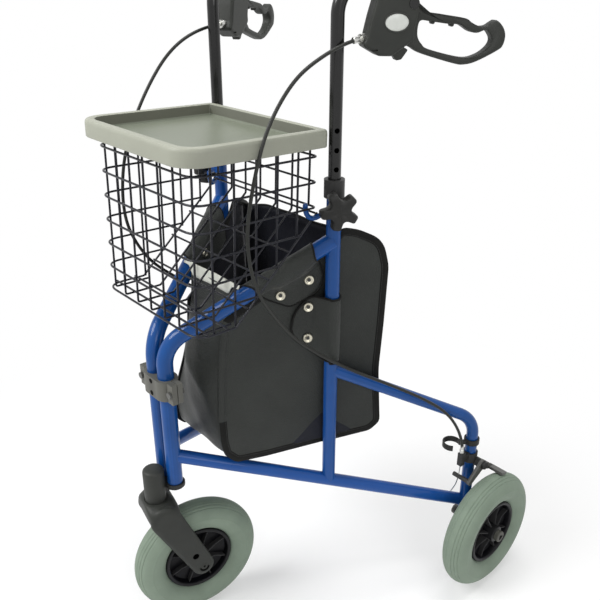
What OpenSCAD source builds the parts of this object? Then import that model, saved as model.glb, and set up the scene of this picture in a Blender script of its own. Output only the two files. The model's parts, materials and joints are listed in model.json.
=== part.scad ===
// Three wheel walking frame: two folding side frames on a front hub with one castor,
// two rear wheels with shoe brakes, height-adjusting brake handles, a wire basket with a tray
// and a vinyl bag. Millimetres, +Z up, front towards -Y, the user's left towards +X.

/* [Wheels] */
// Diameter of each wheel over the tyre
wheel_d = 190; // [170:1:200]
// Width of each tyre
tyre_w = 46; // [40:1:48]
// Radius of the wheel hub where the tyre sits on it
rim_r = 54; // [48:1:58]
// Thickness of the hub's rim ring
rim_t = 7; // [5:0.5:9]
// Width of the hub across its rim
rim_w = 33; // [28:1:36]
// Length of the hub's centre boss
boss_l = 42; // [36:1:44]
// Radius of the hub's centre boss
boss_r = 13; // [11:0.5:16]
// Thickness of the hub's web
web_t = 6; // [4:0.5:10]
// Number of ribs on each face of the hub
rib_count = 8; // [5:1:12]
// Diameter of the wheel axles
axle_d = 10; // [8:0.5:12]

/* [Frame] */
// Angle between each side frame and the walking direction
splay = 28.4; // [26:0.1:30]
// Distance from the front tube to the rear leg along a side frame
frame_run = 453; // [430:1:480]
// Distance from the front tube to the upright along a side frame
upright_run = 224.5; // [212:0.5:236]
// Distance between the two front tubes
pivot_gap = 26; // [25:0.5:30]
// Diameter of the front tube and top tube
front_tube_d = 22; // [20:0.5:24]
// Diameter of the upright
upright_d = 19; // [18.8:0.1:20]
// Diameter of the lower rail
rail_d = 19; // [16:0.5:20]
// Diameter of the rear tube and rear leg
rear_tube_d = 18; // [16:0.5:19]
// Wall of the frame tubes
tube_wall = 1.5; // [1.2:0.1:2]
// Height of the front tube's lower end
front_base_z = 246; // [242:1:250]
// Height where the front tube's line would meet the top tube's line
top_corner_z = 462; // [455:1:470]
// Height where the top tube's line meets the upright
top_joint_z = 587; // [578:1:594]
// Bend radius between the front tube and the top tube
top_bend_r = 50; // [40:1:60]
// Height of the lower rail at the front tube
rail_front_z = 290; // [282:1:298]
// Height of the lower rail at the rear leg
rail_rear_z = 124; // [118:1:130]
// Height of the rear tube at the upright
rear_joint_z = 398; // [388:1:408]
// Height where the rear tube's line would meet the rear leg
rear_corner_z = 279; // [270:1:288]
// Bend radius between the rear tube and the rear leg
rear_bend_r = 45; // [36:1:50]
// Length of the rear leg below the axle
leg_tail = 14; // [12:1:18]
// Height of the upright's upper end
upright_top_z = 663; // [658:1:668]

/* [Castor] */
// Distance of the castor's swivel axis in front of the front tubes
castor_lead = 26; // [26:0.5:30]
// Distance of the front wheel's axle behind the swivel axis
castor_trail = 53; // [48:1:58]
// Angle that the castor is turned to, as it stands
castor_yaw = 12.5; // [0:0.5:20]
// Diameter of the castor's housing
housing_d = 30; // [28:0.5:32]
// Height of the housing's lower end
housing_base_z = 219; // [216:1:222]
// Length of the castor's housing
housing_h = 54; // [50:1:58]
// Diameter of the castor's stem
stem_d = 12; // [10:0.5:13]
// Thickness of each fork leg
fork_t = 7; // [6:0.5:9]
// Gap between the tyre and each fork leg
fork_gap = 3; // [2:0.5:5]

/* [Handles] */
// Diameter of the handle tube
handle_d = 16; // [15.8:0.1:16.2]
// Height where the handle tube starts to bend
handle_bend_z = 856; // [850:1:866]
// Bend radius of the handle tube
handle_bend_r = 42; // [38:1:46]
// Angle that the grip droops towards the user
grip_droop = 5; // [0:0.5:8]
// Height of the handle tube's lower end
handle_foot_z = 540; // [520:1:550]
// Length of the grip
grip_l = 106; // [98:1:112]
// Largest diameter of the grip
grip_d = 31; // [28:0.5:33]
// Distance between the height holes
hole_pitch = 23.5; // [22:0.5:25]
// Diameter of the height holes
hole_d = 6.5; // [5:0.5:7.5]
// Height of the clamping knob
knob_z = 634; // [630:1:636]
// Radius of the clamping knob over its lobes
knob_r = 24.5; // [22:0.5:26]
// Number of lobes on the clamping knob
lobe_count = 5; // [4:1:7]

/* [Brakes] */
// Gap between a brake shoe and its tyre when the brake is off
shoe_gap = 1.6; // [1.4:0.1:2.4]
// Thickness of the brake shoe
shoe_t = 4; // [3:0.5:5]
// Width of the brake shoe along the tread
shoe_w = 13; // [10:0.5:16]
// Width of the brake lever's housing
lever_body_w = 26; // [24:0.5:30]
// Width of the brake lever
lever_w = 14; // [12:0.5:16]
// Diameter of the brake cable
cable_d = 5; // [4:0.5:5.5]

/* [Basket and tray] */
// Width of the basket over its wires
basket_w = 218; // [217:0.5:219]
// Distance between neighbouring wires
mesh_pitch = 32; // [30:1:32]
// Diameter of the basket's wires
wire_d = 3.6; // [3:0.1:4]
// Diameter of the basket's rim wire
rim_wire_d = 5; // [4:0.1:5.5]
// Height of the basket's floor wires
basket_floor_z = 507; // [505:1:510]
// Number of rings above the floor, without the rim
ring_count = 6; // [5:1:6]
// Depth of the basket's level floor
floor_depth = 56; // [52:1:58]
// Height of the basket's back edge at the end of the sloping floor
slope_top_z = 628; // [626:1:632]
// Width of the tray
tray_w = 241; // [236:1:244]
// Depth of the tray from front to back
tray_depth = 204; // [199:1:205]
// Height of the tray's top edge
tray_top_z = 733; // [731:1:740]
// Height of the tray's outer skirt
tray_h = 21; // [20:1:23]
// Radius of the tray's front corners
tray_front_r = 32; // [26:1:40]
// Radius of the tray's rear corners
tray_rear_r = 9; // [6:1:14]
// Width of the tray's rim
tray_rim = 13; // [9:0.5:15]
// Depth of the tray's recess
tray_recess = 15; // [12:0.5:16]
// Thickness of the tray's walls
tray_wall = 3; // [2:0.5:3.5]

/* [Bag] */
// Distance of the bag's front edge behind the front tubes, along a side frame
bag_front = 74; // [68:1:84]
// Length of each side panel of the bag
bag_l = 234; // [220:1:240]
// Height of the bag's lower edge
bag_base_z = 254; // [250:1:262]
// Thickness of the bag's panels
bag_t = 3; // [2:0.5:3.5]

/* [Hidden] */
$fn = 64;

// Colours
blue = [0.07, 0.2, 0.62];
black = [0.1, 0.1, 0.1];
graphite = [0.2, 0.2, 0.2];
steel = [0.7, 0.7, 0.72];
tyre_grey = [0.55, 0.6, 0.57];
tray_grey = [0.62, 0.61, 0.57];

// Clearances
over = 1;
run_clear = 0.05;
seat_clear = 0.3;
weld_clear = 0.02;
wire_clear = 0.05;
seam_l = 0.1;
seam_rise = 0.03;

// Wheels
wheel_r = wheel_d / 2;
tyre_r = tyre_w / 2;
axle_r = axle_d / 2;
groove_r = 1.3;
groove_angle = 24;
rib_t = 2.4;
rib_h = 7;
nut_r = 8;
nut_t = 6;

// Side frames
pivot_x = pivot_gap / 2;
front_r = front_tube_d / 2;
upright_r = upright_d / 2;
rail_r = rail_d / 2;
rear_r = rear_tube_d / 2;
handle_r = handle_d / 2;
upright_bore_r = handle_r + run_clear;
rail_slope = (rail_rear_z - rail_front_z) / frame_run;
top_turn = atan2(upright_run, top_joint_z - top_corner_z);
top_cut = bend_cut(top_bend_r, top_turn);
rear_turn = atan2(frame_run - upright_run, rear_joint_z - rear_corner_z);
rear_cut = bend_cut(rear_bend_r, rear_turn);
upright_base_z = rail_front_z + rail_slope * upright_run;
leg_x = pivot_x + frame_run * sin(splay);
leg_end_z = wheel_r - leg_tail;
plug_flange_t = 2;

// The origin lies under the middle of the part, between the front and rear tyres
tyre_front_reach = (wheel_r - tyre_r) * cos(castor_yaw) + tyre_r;
front_reach = castor_lead - castor_trail * cos(castor_yaw) + tyre_front_reach;
rear_reach = frame_run * cos(splay) + wheel_r;
pivot_y = (front_reach - rear_reach) / 2;
castor_y = pivot_y - castor_lead;
leg_y = pivot_y + frame_run * cos(splay);
rear_wheel_offset = 44;
axle_spacer_r = 7;
axle_inner_gap = 2;

// Front hub and clamp
base_plate_t = 7;
base_plate_r = 14;
base_web_w = 18;
base_web_h = 16;
spigot_h = 36;
bush_r = 11;
bush_h = 10;
housing_cap_t = 5;
stem_washer_r = 8;
stem_washer_t = 2.5;
clamp_z = 401;
clamp_h = 29;
clamp_wall = 4.5;
clamp_split = 1;
lug_w = 12;
lug_t = 8;
bolt_r = 2.5;
bolt_clear = 0.1;
bolt_head_r = 4.5;
bolt_head_t = 3.5;
screw_spacing = 18;
screw_r = 1.4;
screw_head_r = 2.8;
screw_recess = 3;
screw_seat_share = 0.75;
clamp_r = front_r + clamp_wall;
lug_x = pivot_x + clamp_r - over;
bolt_share = 0.6;
bolt_x = lug_x + lug_w * bolt_share;

// Castor fork
fork_x = tyre_r + fork_gap;
crown_gap = 0.7;
crown_top_z = housing_base_z - crown_gap;
crown_h = 21;
crown_r = 21;
crown_lip = 1.5;
crown_side = fork_x + fork_t + crown_lip - crown_r;
leg_top_r = 18;
leg_low_r = 17.5;
leg_top_drop = 20;
spare_hole_r = 4;
spare_hole_share = 0.18;

// Handles
handle_turn = 90 + grip_droop;
handle_cut = bend_cut(handle_bend_r, handle_turn);
handle_corner_z = handle_bend_z + handle_cut;
ring_start = handle_cut + over;
ring_l = 30;
ring_wall = 5;
grip_gap = 2;
grip_start = ring_start + ring_l + grip_gap;
grip_run_shares = [0, 0, 0.04, 0.14, 0.3, 0.55, 0.85, 0.93, 0.98, 1, 1];
grip_swell_shares = [0, 1, 1, 0.86, 0.86, 0.94, 0.86, 1, 1, 0.94, 0];
grip_end_t = 3;
holes_below = 2;
holes_above = 4;
collar_h = 23;
collar_wall = 3.5;
collar_lip = 5;
collar_clear = 0.1;
boss_out = 7;
knob_boss_r = 8;
shank_r = 4;
knob_head_t = 16;
knob_core_r = 15;
lobe_r = 8;
knob_seat = 0.6;

// Brake levers: outlines in shares of their length and height, from the lower front corner
lever_body_setback = 33.5;
lever_body_front = upright_run + lever_body_setback;
lever_body_l = 64;
lever_body_h = 90;
lever_body_drop = 97;
lever_body_shares = [
  [0, 0.2], [0.58, 0.03], [0.72, 0], [0.86, 0.18], [1, 0.48], [1, 0.72],
  [0.67, 0.8], [0.65, 0.98], [0.16, 0.98], [0.16, 0.73], [0.05, 0.4]
];
slot_share = 0.62;
lever_setback = 76;
lever_front = upright_run + lever_setback;
lever_l = 131;
lever_h = 78;
lever_drop = 104;
lever_shares = [
  [0.01, 0.3], [0.01, 0.88], [0.16, 0.84], [0.57, 0.75], [0.7, 0.67], [0.8, 0.65], [0.89, 0.71],
  [0.98, 0.57], [1, 0.43], [0.97, 0.28], [0.86, 0.1], [0.7, 0.01], [0.54, 0.01], [0.2, 0.17]
];
finger_shares = [
  [0.14, 0.5], [0.18, 0.63], [0.24, 0.67], [0.55, 0.6], [0.69, 0.51], [0.82, 0.5], [0.88, 0.5],
  [0.9, 0.4], [0.85, 0.26], [0.7, 0.15], [0.54, 0.15], [0.22, 0.31]
];
lever_pin_r = 3;
pin_head_r = 6;
pin_head_t = 1;
lever_eye_r = 8.5;
lever_pin_setback = 85.5;
lever_pin_drop = 34;
lever_pin_y = upright_run + lever_pin_setback;
lever_pin_z = handle_corner_z - lever_pin_drop;
lever_side_clear = 0.4;

// Rear brakes, placed from the rear leg in the walking directions
stud_r = 4;
stud_y = 4;
stud_rise = 14;
stud_z = wheel_d + stud_rise;
sleeve_r = 7;
sleeve_l = 9;
arm_t = 5;
arm_gap = 0.4;
arm_r = 7.5;
arm_x = rear_r + sleeve_l + arm_gap;
stud_nut_t = 4;
shoe_angle = 15;
shoe_l = 30;
link_y = -25;
link_drop = 20;
link_z = stud_z - link_drop;
link_r = 3.5;
link_in = 9;
stop_w = 8;
stop_d = 9;
stop_h = 22;
stop_x = 1;
stop_y = -24;
stop_rise = 16;
stop_z = wheel_d + stop_rise;
stop_strap_h = 10;
band_h = 16;
band_t = 2.5;
clip_in_r = 9;
clip_wall = 2.4;
clip_h = 8;
clip_reach = 31;
clip_z = 236;
clip_mouth = 70;

// Basket hooks
hook_r = 2.5;
hook_run = 34;
hook_tip_run = 41;
hook_root_z = 621;
hook_dip_z = 602;
hook_tip_z = 628;
hook_bend_r = 6;

// Basket
wire_r = wire_d / 2;
rim_wire_r = rim_wire_d / 2;
basket_half = basket_w / 2;
basket_overhang = 1;
basket_front_y = pivot_y - basket_overhang;
basket_back_gap = 5;
basket_back_y = pivot_y + upright_run * cos(splay) - upright_r - basket_back_gap;
basket_corner_r = 22;
basket_rim_z = tray_top_z - tray_recess - tray_wall - rim_wire_r - seat_clear;
slope_start_y = basket_front_y + floor_depth;
slope_run = basket_back_y - slope_start_y;
slope_rise = slope_top_z - basket_floor_z;
slope_angle = atan2(slope_rise, slope_run);
slope_l = norm([slope_run, slope_rise]);
stake_inset = wire_d + wire_clear;
stake_lead = 7;
stakes_each_side = 3;
side_stakes = 5;
slope_clear = wire_r / tan(slope_angle) + (wire_r + wire_clear) / sin(slope_angle);
floor_cross_shares = [0.25, 0.75];
slope_cross_shares = [0.15, 0.4, 0.64, 0.985];

// Tray
tray_overhang = 16;
tray_front_y = pivot_y - tray_overhang;

// Bag
bag_inset = max(upright_r, rail_r) + seat_clear;
bag_gap = 1;
bag_h = 340;
bag_shares = [
  [0, 0.03], [0.05, 0], [0.93, 0.03], [0.98, 0.1], [1, 0.36], [1, 0.73], [0.96, 0.86],
  [0.88, 0.94], [0.75, 0.985], [0.6, 0.93], [0, 0.69]
];
gusset_front_h = 215;
gusset_back_h = 310;
gusset_front_share = 0.02;
gusset_back_share = 0.9;

// Brake cable routes: outwards from the side frame, back from the front tube, and height
left_route = [
  [0, 257.8, 831], [13, 230, 828], [24, 194, 811], [37, 170, 797], [47, 152, 778], [56, 134, 752],
  [64, 119, 716], [73, 103, 650], [74, 102, 612], [70, 108, 572], [62, 120, 540], [43, 146, 497],
  [27, 175, 456], [13, 241, 404], [12, 293, 376], [14, 371, 332], [15, 405, 302], [15, 424, 268],
  [12.5, 432, 240], [12, 432, 228.5]
];
right_route = [
  [0, 257.8, 831], [13, 228, 828], [27, 190, 818], [41, 162, 797], [51, 142, 772], [61, 122, 742],
  [72, 102, 700], [78, 90, 660], [80, 85, 620], [79, 86, 582], [70, 96, 548], [58, 114, 514],
  [43, 146, 486], [15, 229, 410], [12, 293, 376], [14, 371, 332], [15, 405, 302], [15, 424, 268],
  [12.5, 432, 240], [12, 432, 228.5]
];
near_share = 9 / 16;
far_share = 1 / 16;
cable_sides = 8;

// Placing helpers

// Left side frame: X outwards, Y back along the frame from the front tube, Z up
module left_side() {
  translate([pivot_x, pivot_y, 0]) rotate([0, 0, -splay]) children();
}

module right_side() {
  mirror([1, 0, 0]) left_side() children();
}

// Left rear leg in the walking directions
module left_leg() {
  translate([leg_x, leg_y, 0]) children();
}

module right_leg() {
  mirror([1, 0, 0]) left_leg() children();
}

// The rear leg's walking directions inside a side frame's own directions
module leg_in_side() {
  translate([0, frame_run, 0]) rotate([0, 0, splay]) children();
}

// Castor: X across the fork, Y towards the trailing wheel
module castor_place() {
  translate([0, castor_y, 0]) rotate([0, 0, -castor_yaw]) children();
}

// Along the handle's grip: Z runs back along the grip from the bend's corner
module grip_place() {
  translate([0, upright_run, handle_corner_z]) rotate([-handle_turn, 0, 0]) children();
}

// Turns a cylinder along Z to lie along X
module along_x() {
  rotate([0, 90, 0]) children();
}

// Flat outline in the side frame's own plane, given as back and up, and extruded across X
module across_frame(width) {
  multmatrix([[0, 0, 1, -width / 2], [1, 0, 0, 0], [0, 1, 0, 0], [0, 0, 0, 1]])
    linear_extrude(width) children();
}

// Rods and tubes

// Round bar between two points
module rod(a, b, r) {
  d = b - a;
  translate(a) rotate([0, acos(d.z / norm(d)), atan2(d.y, d.x)]) cylinder(h = norm(d), r = r);
}

// Length of straight that a bend takes up on each side of its corner
function bend_cut(bend_r, turn) = bend_r * tan(turn / 2);

// Thin seam where a straight run meets a bend
module seam(r) {
  translate([0, 0, -2 * seam_l]) cylinder(h = 4 * seam_l, r = r + seam_rise);
}

// Round bar that runs up along Z, bends towards Y and runs straight on
module bent_rod(first_l, bend_r, turn, second_l, r) {
  cylinder(h = first_l - seam_l, r = r);
  translate([0, 0, first_l]) seam(r);
  translate([0, bend_r, first_l]) {
    rotate([90, 0, -90]) rotate_extrude(angle = turn) translate([bend_r, 0]) circle(r = r);
    rotate([-turn, 0, 0]) translate([0, -bend_r, 0]) {
      seam(r);
      translate([0, 0, seam_l]) cylinder(h = second_l - seam_l, r = r);
    }
  }
}

// Hollow tube between two points
module straight_tube(a, b, r, wall) {
  u = (b - a) / norm(b - a);
  difference() {
    rod(a, b, r);
    rod(a - u * over, b + u * over, r - wall);
  }
}

// Hollow tube with one bend
module bent_tube(first_l, bend_r, turn, second_l, r, wall) {
  difference() {
    bent_rod(first_l, bend_r, turn, second_l, r);
    translate([0, 0, -over]) bent_rod(first_l + over, bend_r, turn, second_l + over, r - wall);
  }
}

// Outline made of two discs and the straight band between them
module link_outline(a, ra, b, rb) {
  d = norm(b - a);
  lean = asin((ra - rb) / d);
  dir = atan2(b.y - a.y, b.x - a.x);
  hi = dir + 90 - lean;
  lo = dir - 90 + lean;
  translate(a) circle(r = ra);
  translate(b) circle(r = rb);
  polygon([
    a + ra * [cos(hi), sin(hi)], b + rb * [cos(hi), sin(hi)],
    b + rb * [cos(lo), sin(lo)], a + ra * [cos(lo), sin(lo)]
  ]);
}

// Stretches an outline given in shares to a length and a height
function in_shares(shares, l, h) = [for (s = shares) [s.x * l, s.y * h]];

// Front hub

module hub_moulding() {
  color(graphite) difference() {
    union() {
      translate([0, castor_y, housing_base_z]) cylinder(h = housing_h, d = housing_d);
      translate([0, pivot_y, front_base_z - base_plate_t]) linear_extrude(base_plate_t) {
        for (side = [-1, 1]) translate([side * pivot_x, 0]) circle(r = base_plate_r);
        translate([-pivot_x, -base_plate_r]) square([pivot_gap, 2 * base_plate_r]);
      }
      translate([-base_web_w / 2, castor_y, front_base_z - base_web_h])
        cube([base_web_w, castor_lead, base_web_h]);
      for (side = [-1, 1])
        translate([side * pivot_x, pivot_y, front_base_z - over])
          cylinder(h = spigot_h + over, r = front_r - tube_wall - run_clear);
    }
    translate([0, castor_y, housing_base_z - over])
      cylinder(h = housing_h - housing_cap_t + over, r = bush_r);
  }
}

// One half of the clamp round both front tubes: face -1 is the front half, 1 the rear half
module clamp_half(face) {
  translate([0, pivot_y, clamp_z - clamp_h / 2]) difference() {
    linear_extrude(clamp_h) difference() {
      intersection() {
        union() {
          for (side = [-1, 1]) {
            translate([side * pivot_x, 0]) circle(r = clamp_r);
            translate([side > 0 ? lug_x : -lug_x - lug_w, -lug_t]) square([lug_w, 2 * lug_t]);
          }
          translate([-pivot_x, -clamp_r]) square([pivot_gap, 2 * clamp_r]);
        }
        translate([-lug_x - lug_w, face < 0 ? -clamp_r : clamp_split / 2])
          square([2 * (lug_x + lug_w), clamp_r - clamp_split / 2]);
      }
      for (side = [-1, 1]) translate([side * pivot_x, 0]) circle(r = front_r + run_clear);
    }
    for (side = [-1, 1])
      translate([side * bolt_x, 0, clamp_h / 2]) rotate([90, 0, 0])
        cylinder(h = 2 * clamp_r + 2 * over, r = bolt_r + bolt_clear, center = true);
    for (side = [-1, 1])
      translate([0, 0, clamp_h / 2 + side * screw_spacing / 2]) rotate([90, 0, 0]) {
        cylinder(h = 2 * clamp_r + 2 * over, r = screw_r + bolt_clear, center = true);
        for (end = [-1, 1])
          translate([0, 0, end * (clamp_r - screw_recess / 2 + over / 2)])
            cylinder(h = screw_recess + over, r = screw_head_r + bolt_clear, center = true);
      }
  }
}

module clamp_front() {
  color(graphite) clamp_half(-1);
}

module clamp_rear() {
  color(graphite) clamp_half(1);
}

module clamp_bolts() {
  color(steel) translate([0, pivot_y, clamp_z]) {
    for (side = [-1, 1]) translate([side * bolt_x, 0, 0]) rotate([90, 0, 0]) {
      cylinder(h = 2 * lug_t, r = bolt_r, center = true);
      translate([0, 0, lug_t]) cylinder(h = bolt_head_t, r = bolt_head_r);
      translate([0, 0, -lug_t - bolt_head_t]) cylinder(h = bolt_head_t, r = bolt_head_r, $fn = 6);
    }
    for (side = [-1, 1]) translate([0, 0, side * screw_spacing / 2]) rotate([90, 0, 0]) {
      cylinder(h = 2 * (clamp_r - screw_recess), r = screw_r, center = true);
      for (end = [-1, 1])
        translate([0, 0, end * (clamp_r - screw_recess * screw_seat_share)])
          cylinder(h = screw_recess / 2, r = screw_head_r, center = true);
    }
  }
}

module castor_bushes() {
  color(steel) translate([0, castor_y, housing_base_z])
    for (z = [0, housing_h - housing_cap_t - 2 * bush_h])
      translate([0, 0, z]) difference() {
        cylinder(h = bush_h, r = bush_r);
        translate([0, 0, -over]) cylinder(h = bush_h + 2 * over, r = stem_d / 2 + run_clear);
      }
}

// Castor

module castor_fork() {
  axle = [castor_trail, wheel_r];
  top = [0, crown_top_z - leg_top_drop];
  color(graphite) castor_place() difference() {
    union() {
      translate([0, 0, crown_top_z - crown_h]) linear_extrude(crown_h) {
        for (side = [-1, 1])
          translate([side * crown_side, 0]) circle(r = crown_r);
        translate([-crown_side, -crown_r]) square([2 * crown_side, 2 * crown_r]);
      }
      for (side = [-1, 1])
        translate([side * (fork_x + fork_t / 2), 0, 0])
          across_frame(fork_t) link_outline(top, leg_top_r, axle, leg_low_r);
    }
    translate([0, castor_trail, wheel_r]) along_x()
      cylinder(h = 2 * (fork_x + fork_t + over), r = axle_r, center = true);
    translate([0, castor_trail * (1 - spare_hole_share),
      wheel_r + (crown_top_z - leg_top_drop - wheel_r) * spare_hole_share]) along_x()
      cylinder(h = 2 * (fork_x + fork_t + over), r = spare_hole_r, center = true);
    translate([0, 0, crown_top_z - crown_h + over]) cylinder(h = crown_h, r = stem_d / 2);
  }
}

module castor_stem() {
  foot_z = crown_top_z - crown_h + over;
  washer_z = housing_base_z + housing_h - housing_cap_t - bush_h + seat_clear;
  color(steel) castor_place() {
    translate([0, 0, foot_z]) cylinder(h = washer_z - foot_z + over, r = stem_d / 2);
    translate([0, 0, washer_z]) cylinder(h = stem_washer_t, r = stem_washer_r);
  }
}

module front_axle() {
  half = fork_x + fork_t;
  color(steel) castor_place() translate([0, castor_trail, wheel_r]) along_x() {
    cylinder(h = 2 * half, r = axle_r, center = true);
    for (side = [0, 1]) mirror([0, 0, side])
      translate([0, 0, half]) cylinder(h = nut_t / 2, r = nut_r, $fn = side > 0 ? 6 : $fn);
  }
}

// Wheels, each about its own X axis

module tyre() {
  along_x() rotate_extrude() difference() {
    translate([wheel_r - tyre_r, 0]) circle(r = tyre_r);
    translate([0, -rim_w / 2]) square([rim_r, rim_w]);
    translate([0, -tyre_r]) square([rim_r - rim_t / 2, tyre_w]);
    for (a = [-1, 0, 1] * groove_angle)
      translate([wheel_r - tyre_r + tyre_r * cos(a), tyre_r * sin(a)]) circle(r = groove_r);
  }
}

module wheel_hub() {
  along_x() difference() {
    union() {
      rotate_extrude() {
        translate([rim_r - rim_t, -rim_w / 2]) square([rim_t, rim_w]);
        translate([0, -web_t / 2]) square([rim_r, web_t]);
        translate([0, -boss_l / 2]) square([boss_r, boss_l]);
      }
      for (i = [0 : rib_count - 1])
        rotate([0, 0, 360 * i / rib_count])
          translate([boss_r - over, -rib_t / 2, -web_t / 2 - rib_h])
            cube([rim_r - rim_t - boss_r + 2 * over, rib_t, web_t + 2 * rib_h]);
    }
    cylinder(h = boss_l + 2 * over, r = axle_r + run_clear, center = true);
  }
}

module front_wheel_place() {
  castor_place() translate([0, castor_trail, wheel_r]) children();
}

module rear_wheel_place() {
  translate([rear_wheel_offset, 0, wheel_r]) children();
}

module front_tyre() {
  color(tyre_grey) front_wheel_place() tyre();
}

module front_wheel_hub() {
  color(black) front_wheel_place() wheel_hub();
}

// Side frame pieces, in the left side frame's own directions

module front_tube() {
  difference() {
    translate([0, 0, front_base_z + seat_clear])
      bent_tube(top_corner_z - top_cut - front_base_z - seat_clear, top_bend_r, top_turn,
        norm([upright_run, top_joint_z - top_corner_z]) - top_cut, front_r, tube_wall);
    translate([0, upright_run, upright_base_z])
      cylinder(h = upright_top_z - upright_base_z, r = upright_r + weld_clear);
  }
}

module upright() {
  difference() {
    union() {
      translate([0, upright_run, upright_base_z])
        cylinder(h = upright_top_z - upright_base_z, r = upright_r);
      translate([0, upright_run, knob_z]) along_x()
        cylinder(h = upright_r + boss_out, r = knob_boss_r);
    }
    translate([0, upright_run, upright_base_z - over])
      cylinder(h = upright_top_z - upright_base_z + 2 * over, r = upright_bore_r);
    translate([0, upright_run, knob_z]) along_x()
      cylinder(h = upright_r + boss_out + over, r = shank_r + run_clear);
    rod([0, 0, rail_front_z], [0, frame_run, rail_rear_z], rail_r + weld_clear);
  }
}

module lower_rail() {
  difference() {
    straight_tube([0, 0, rail_front_z], [0, frame_run, rail_rear_z], rail_r, tube_wall);
    cylinder(h = top_corner_z, r = front_r + weld_clear);
    translate([0, frame_run, 0]) cylinder(h = rear_corner_z, r = rear_r + weld_clear);
  }
}

module rear_tube() {
  difference() {
    translate([0, frame_run, leg_end_z]) mirror([0, 1, 0])
      bent_tube(rear_corner_z - rear_cut - leg_end_z, rear_bend_r, rear_turn,
        norm([frame_run - upright_run, rear_joint_z - rear_corner_z]) - rear_cut, rear_r, tube_wall);
    translate([0, upright_run, upright_base_z])
      cylinder(h = upright_top_z - upright_base_z, r = upright_r + weld_clear);
    leg_in_side() translate([0, 0, wheel_r]) along_x()
      cylinder(h = 2 * rear_tube_d, r = axle_r, center = true);
  }
}

// Plug in the rear leg's lower end
module leg_plug() {
  translate([0, frame_run, leg_end_z - plug_flange_t]) {
    cylinder(h = plug_flange_t, r = rear_r);
    cylinder(h = leg_tail - axle_r, r = rear_r - tube_wall);
  }
}

module collar() {
  translate([0, upright_run, upright_top_z + collar_lip - collar_h]) difference() {
    cylinder(h = collar_h, r = upright_r + collar_wall);
    translate([0, 0, -over]) cylinder(h = collar_h - collar_lip + over, r = upright_r);
    cylinder(h = collar_h + over, r = handle_r + collar_clear);
  }
}

// Rod hook on the upright, with a dip that the basket's lower edge wire lies in
module basket_hook() {
  root = [upright_run, hook_root_z];
  dip = [upright_run - hook_run, hook_dip_z];
  tip = [upright_run - hook_tip_run, hook_tip_z];
  fall = atan2(dip.x - tip.x, dip.y - tip.y);
  rise = atan2(root.x - dip.x, root.y - dip.y);
  cut = bend_cut(hook_bend_r, fall - rise);
  difference() {
    translate([0, tip.x, tip.y]) rotate([-fall, 0, 0]) mirror([0, 1, 0])
      bent_rod(norm(dip - tip) - cut, hook_bend_r, fall - rise, norm(root - dip) - cut, hook_r);
    translate([0, upright_run, upright_base_z])
      cylinder(h = upright_top_z - upright_base_z, r = upright_r + weld_clear);
  }
}

module stub_axle() {
  inner = rear_r + nut_t + axle_inner_gap;
  outer = rear_wheel_offset + boss_l / 2 + seat_clear;
  translate([0, 0, wheel_r]) along_x() {
    translate([0, 0, -inner]) cylinder(h = inner + outer + nut_t, r = axle_r);
    translate([0, 0, -inner]) cylinder(h = nut_t, r = nut_r);
    translate([0, 0, outer]) cylinder(h = nut_t, r = nut_r, $fn = 6);
    translate([0, 0, rear_r + over])
      cylinder(h = rear_wheel_offset - boss_l / 2 - rear_r - over - seat_clear, r = axle_spacer_r);
  }
}

// Rear brakes, in the left rear leg's walking directions

module brake_bracket() {
  difference() {
    union() {
      translate([0, stud_y, stud_z]) along_x() {
        cylinder(h = arm_x + arm_t + arm_gap + stud_nut_t, r = stud_r);
        cylinder(h = rear_r + sleeve_l, r = sleeve_r);
        translate([0, 0, arm_x + arm_t + arm_gap])
          cylinder(h = stud_nut_t, r = sleeve_r, $fn = 6);
      }
      translate([stop_x - stop_w / 2, stop_y - stop_d / 2, stop_z])
        cube([stop_w, stop_d, stop_h]);
      translate([stop_x - stop_w / 2, stop_y, stop_z + stop_h / 2 - stop_strap_h / 2])
        cube([stop_w, -stop_y, stop_strap_h]);
      translate([0, 0, stud_z]) cylinder(h = band_h, r = rear_r + band_t);
    }
    cylinder(h = rear_corner_z, r = rear_r + weld_clear);
  }
}

module brake_arm() {
  pivot = [stud_y, stud_z];
  shoe_r = wheel_r + shoe_gap + shoe_t / 2;
  shoe = [shoe_r * sin(shoe_angle), wheel_r + shoe_r * cos(shoe_angle)];
  difference() {
    union() {
      translate([arm_x + arm_t / 2, 0, 0]) across_frame(arm_t) {
        link_outline(pivot, arm_r, [link_y, link_z], link_r + over);
        link_outline(pivot, arm_r, shoe, shoe_t);
      }
      translate([-link_in, link_y, link_z]) along_x()
        cylinder(h = link_in + arm_x + arm_t, r = link_r);
      translate([arm_x, shoe.x, shoe.y]) rotate([-shoe_angle, 0, 0])
        translate([0, -shoe_w / 2, -shoe_t / 2]) cube([shoe_l, shoe_w, shoe_t]);
    }
    translate([0, stud_y, stud_z]) along_x()
      cylinder(h = arm_x + arm_t + over, r = stud_r + run_clear);
  }
}

// Open ring on the left rear leg, in front of the leg along its frame
module clip_ring() {
  ring_r = clip_in_r + clip_wall;
  translate([0, frame_run, clip_z]) linear_extrude(clip_h) difference() {
    union() {
      translate([0, -clip_reach]) circle(r = ring_r);
      circle(r = rear_r + clip_wall);
      translate([-clip_wall, -clip_reach]) square([2 * clip_wall, clip_reach]);
    }
    translate([0, -clip_reach]) circle(r = clip_in_r);
    circle(r = rear_r + weld_clear);
    translate([0, -clip_reach]) polygon([
      [0, 0], 2 * ring_r * [-sin(clip_mouth), cos(clip_mouth)], 2 * ring_r * [-1, 0],
      2 * ring_r * [-cos(clip_mouth / 2), -sin(clip_mouth / 2)]
    ]);
  }
}

// Brake cable: a round cord swept along its route

function route_dir(route, i) =
  let (
    a = route[max(i - 1, 0)],
    b = route[min(i + 1, len(route) - 1)]
  )
  (b - a) / norm(b - a);

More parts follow.
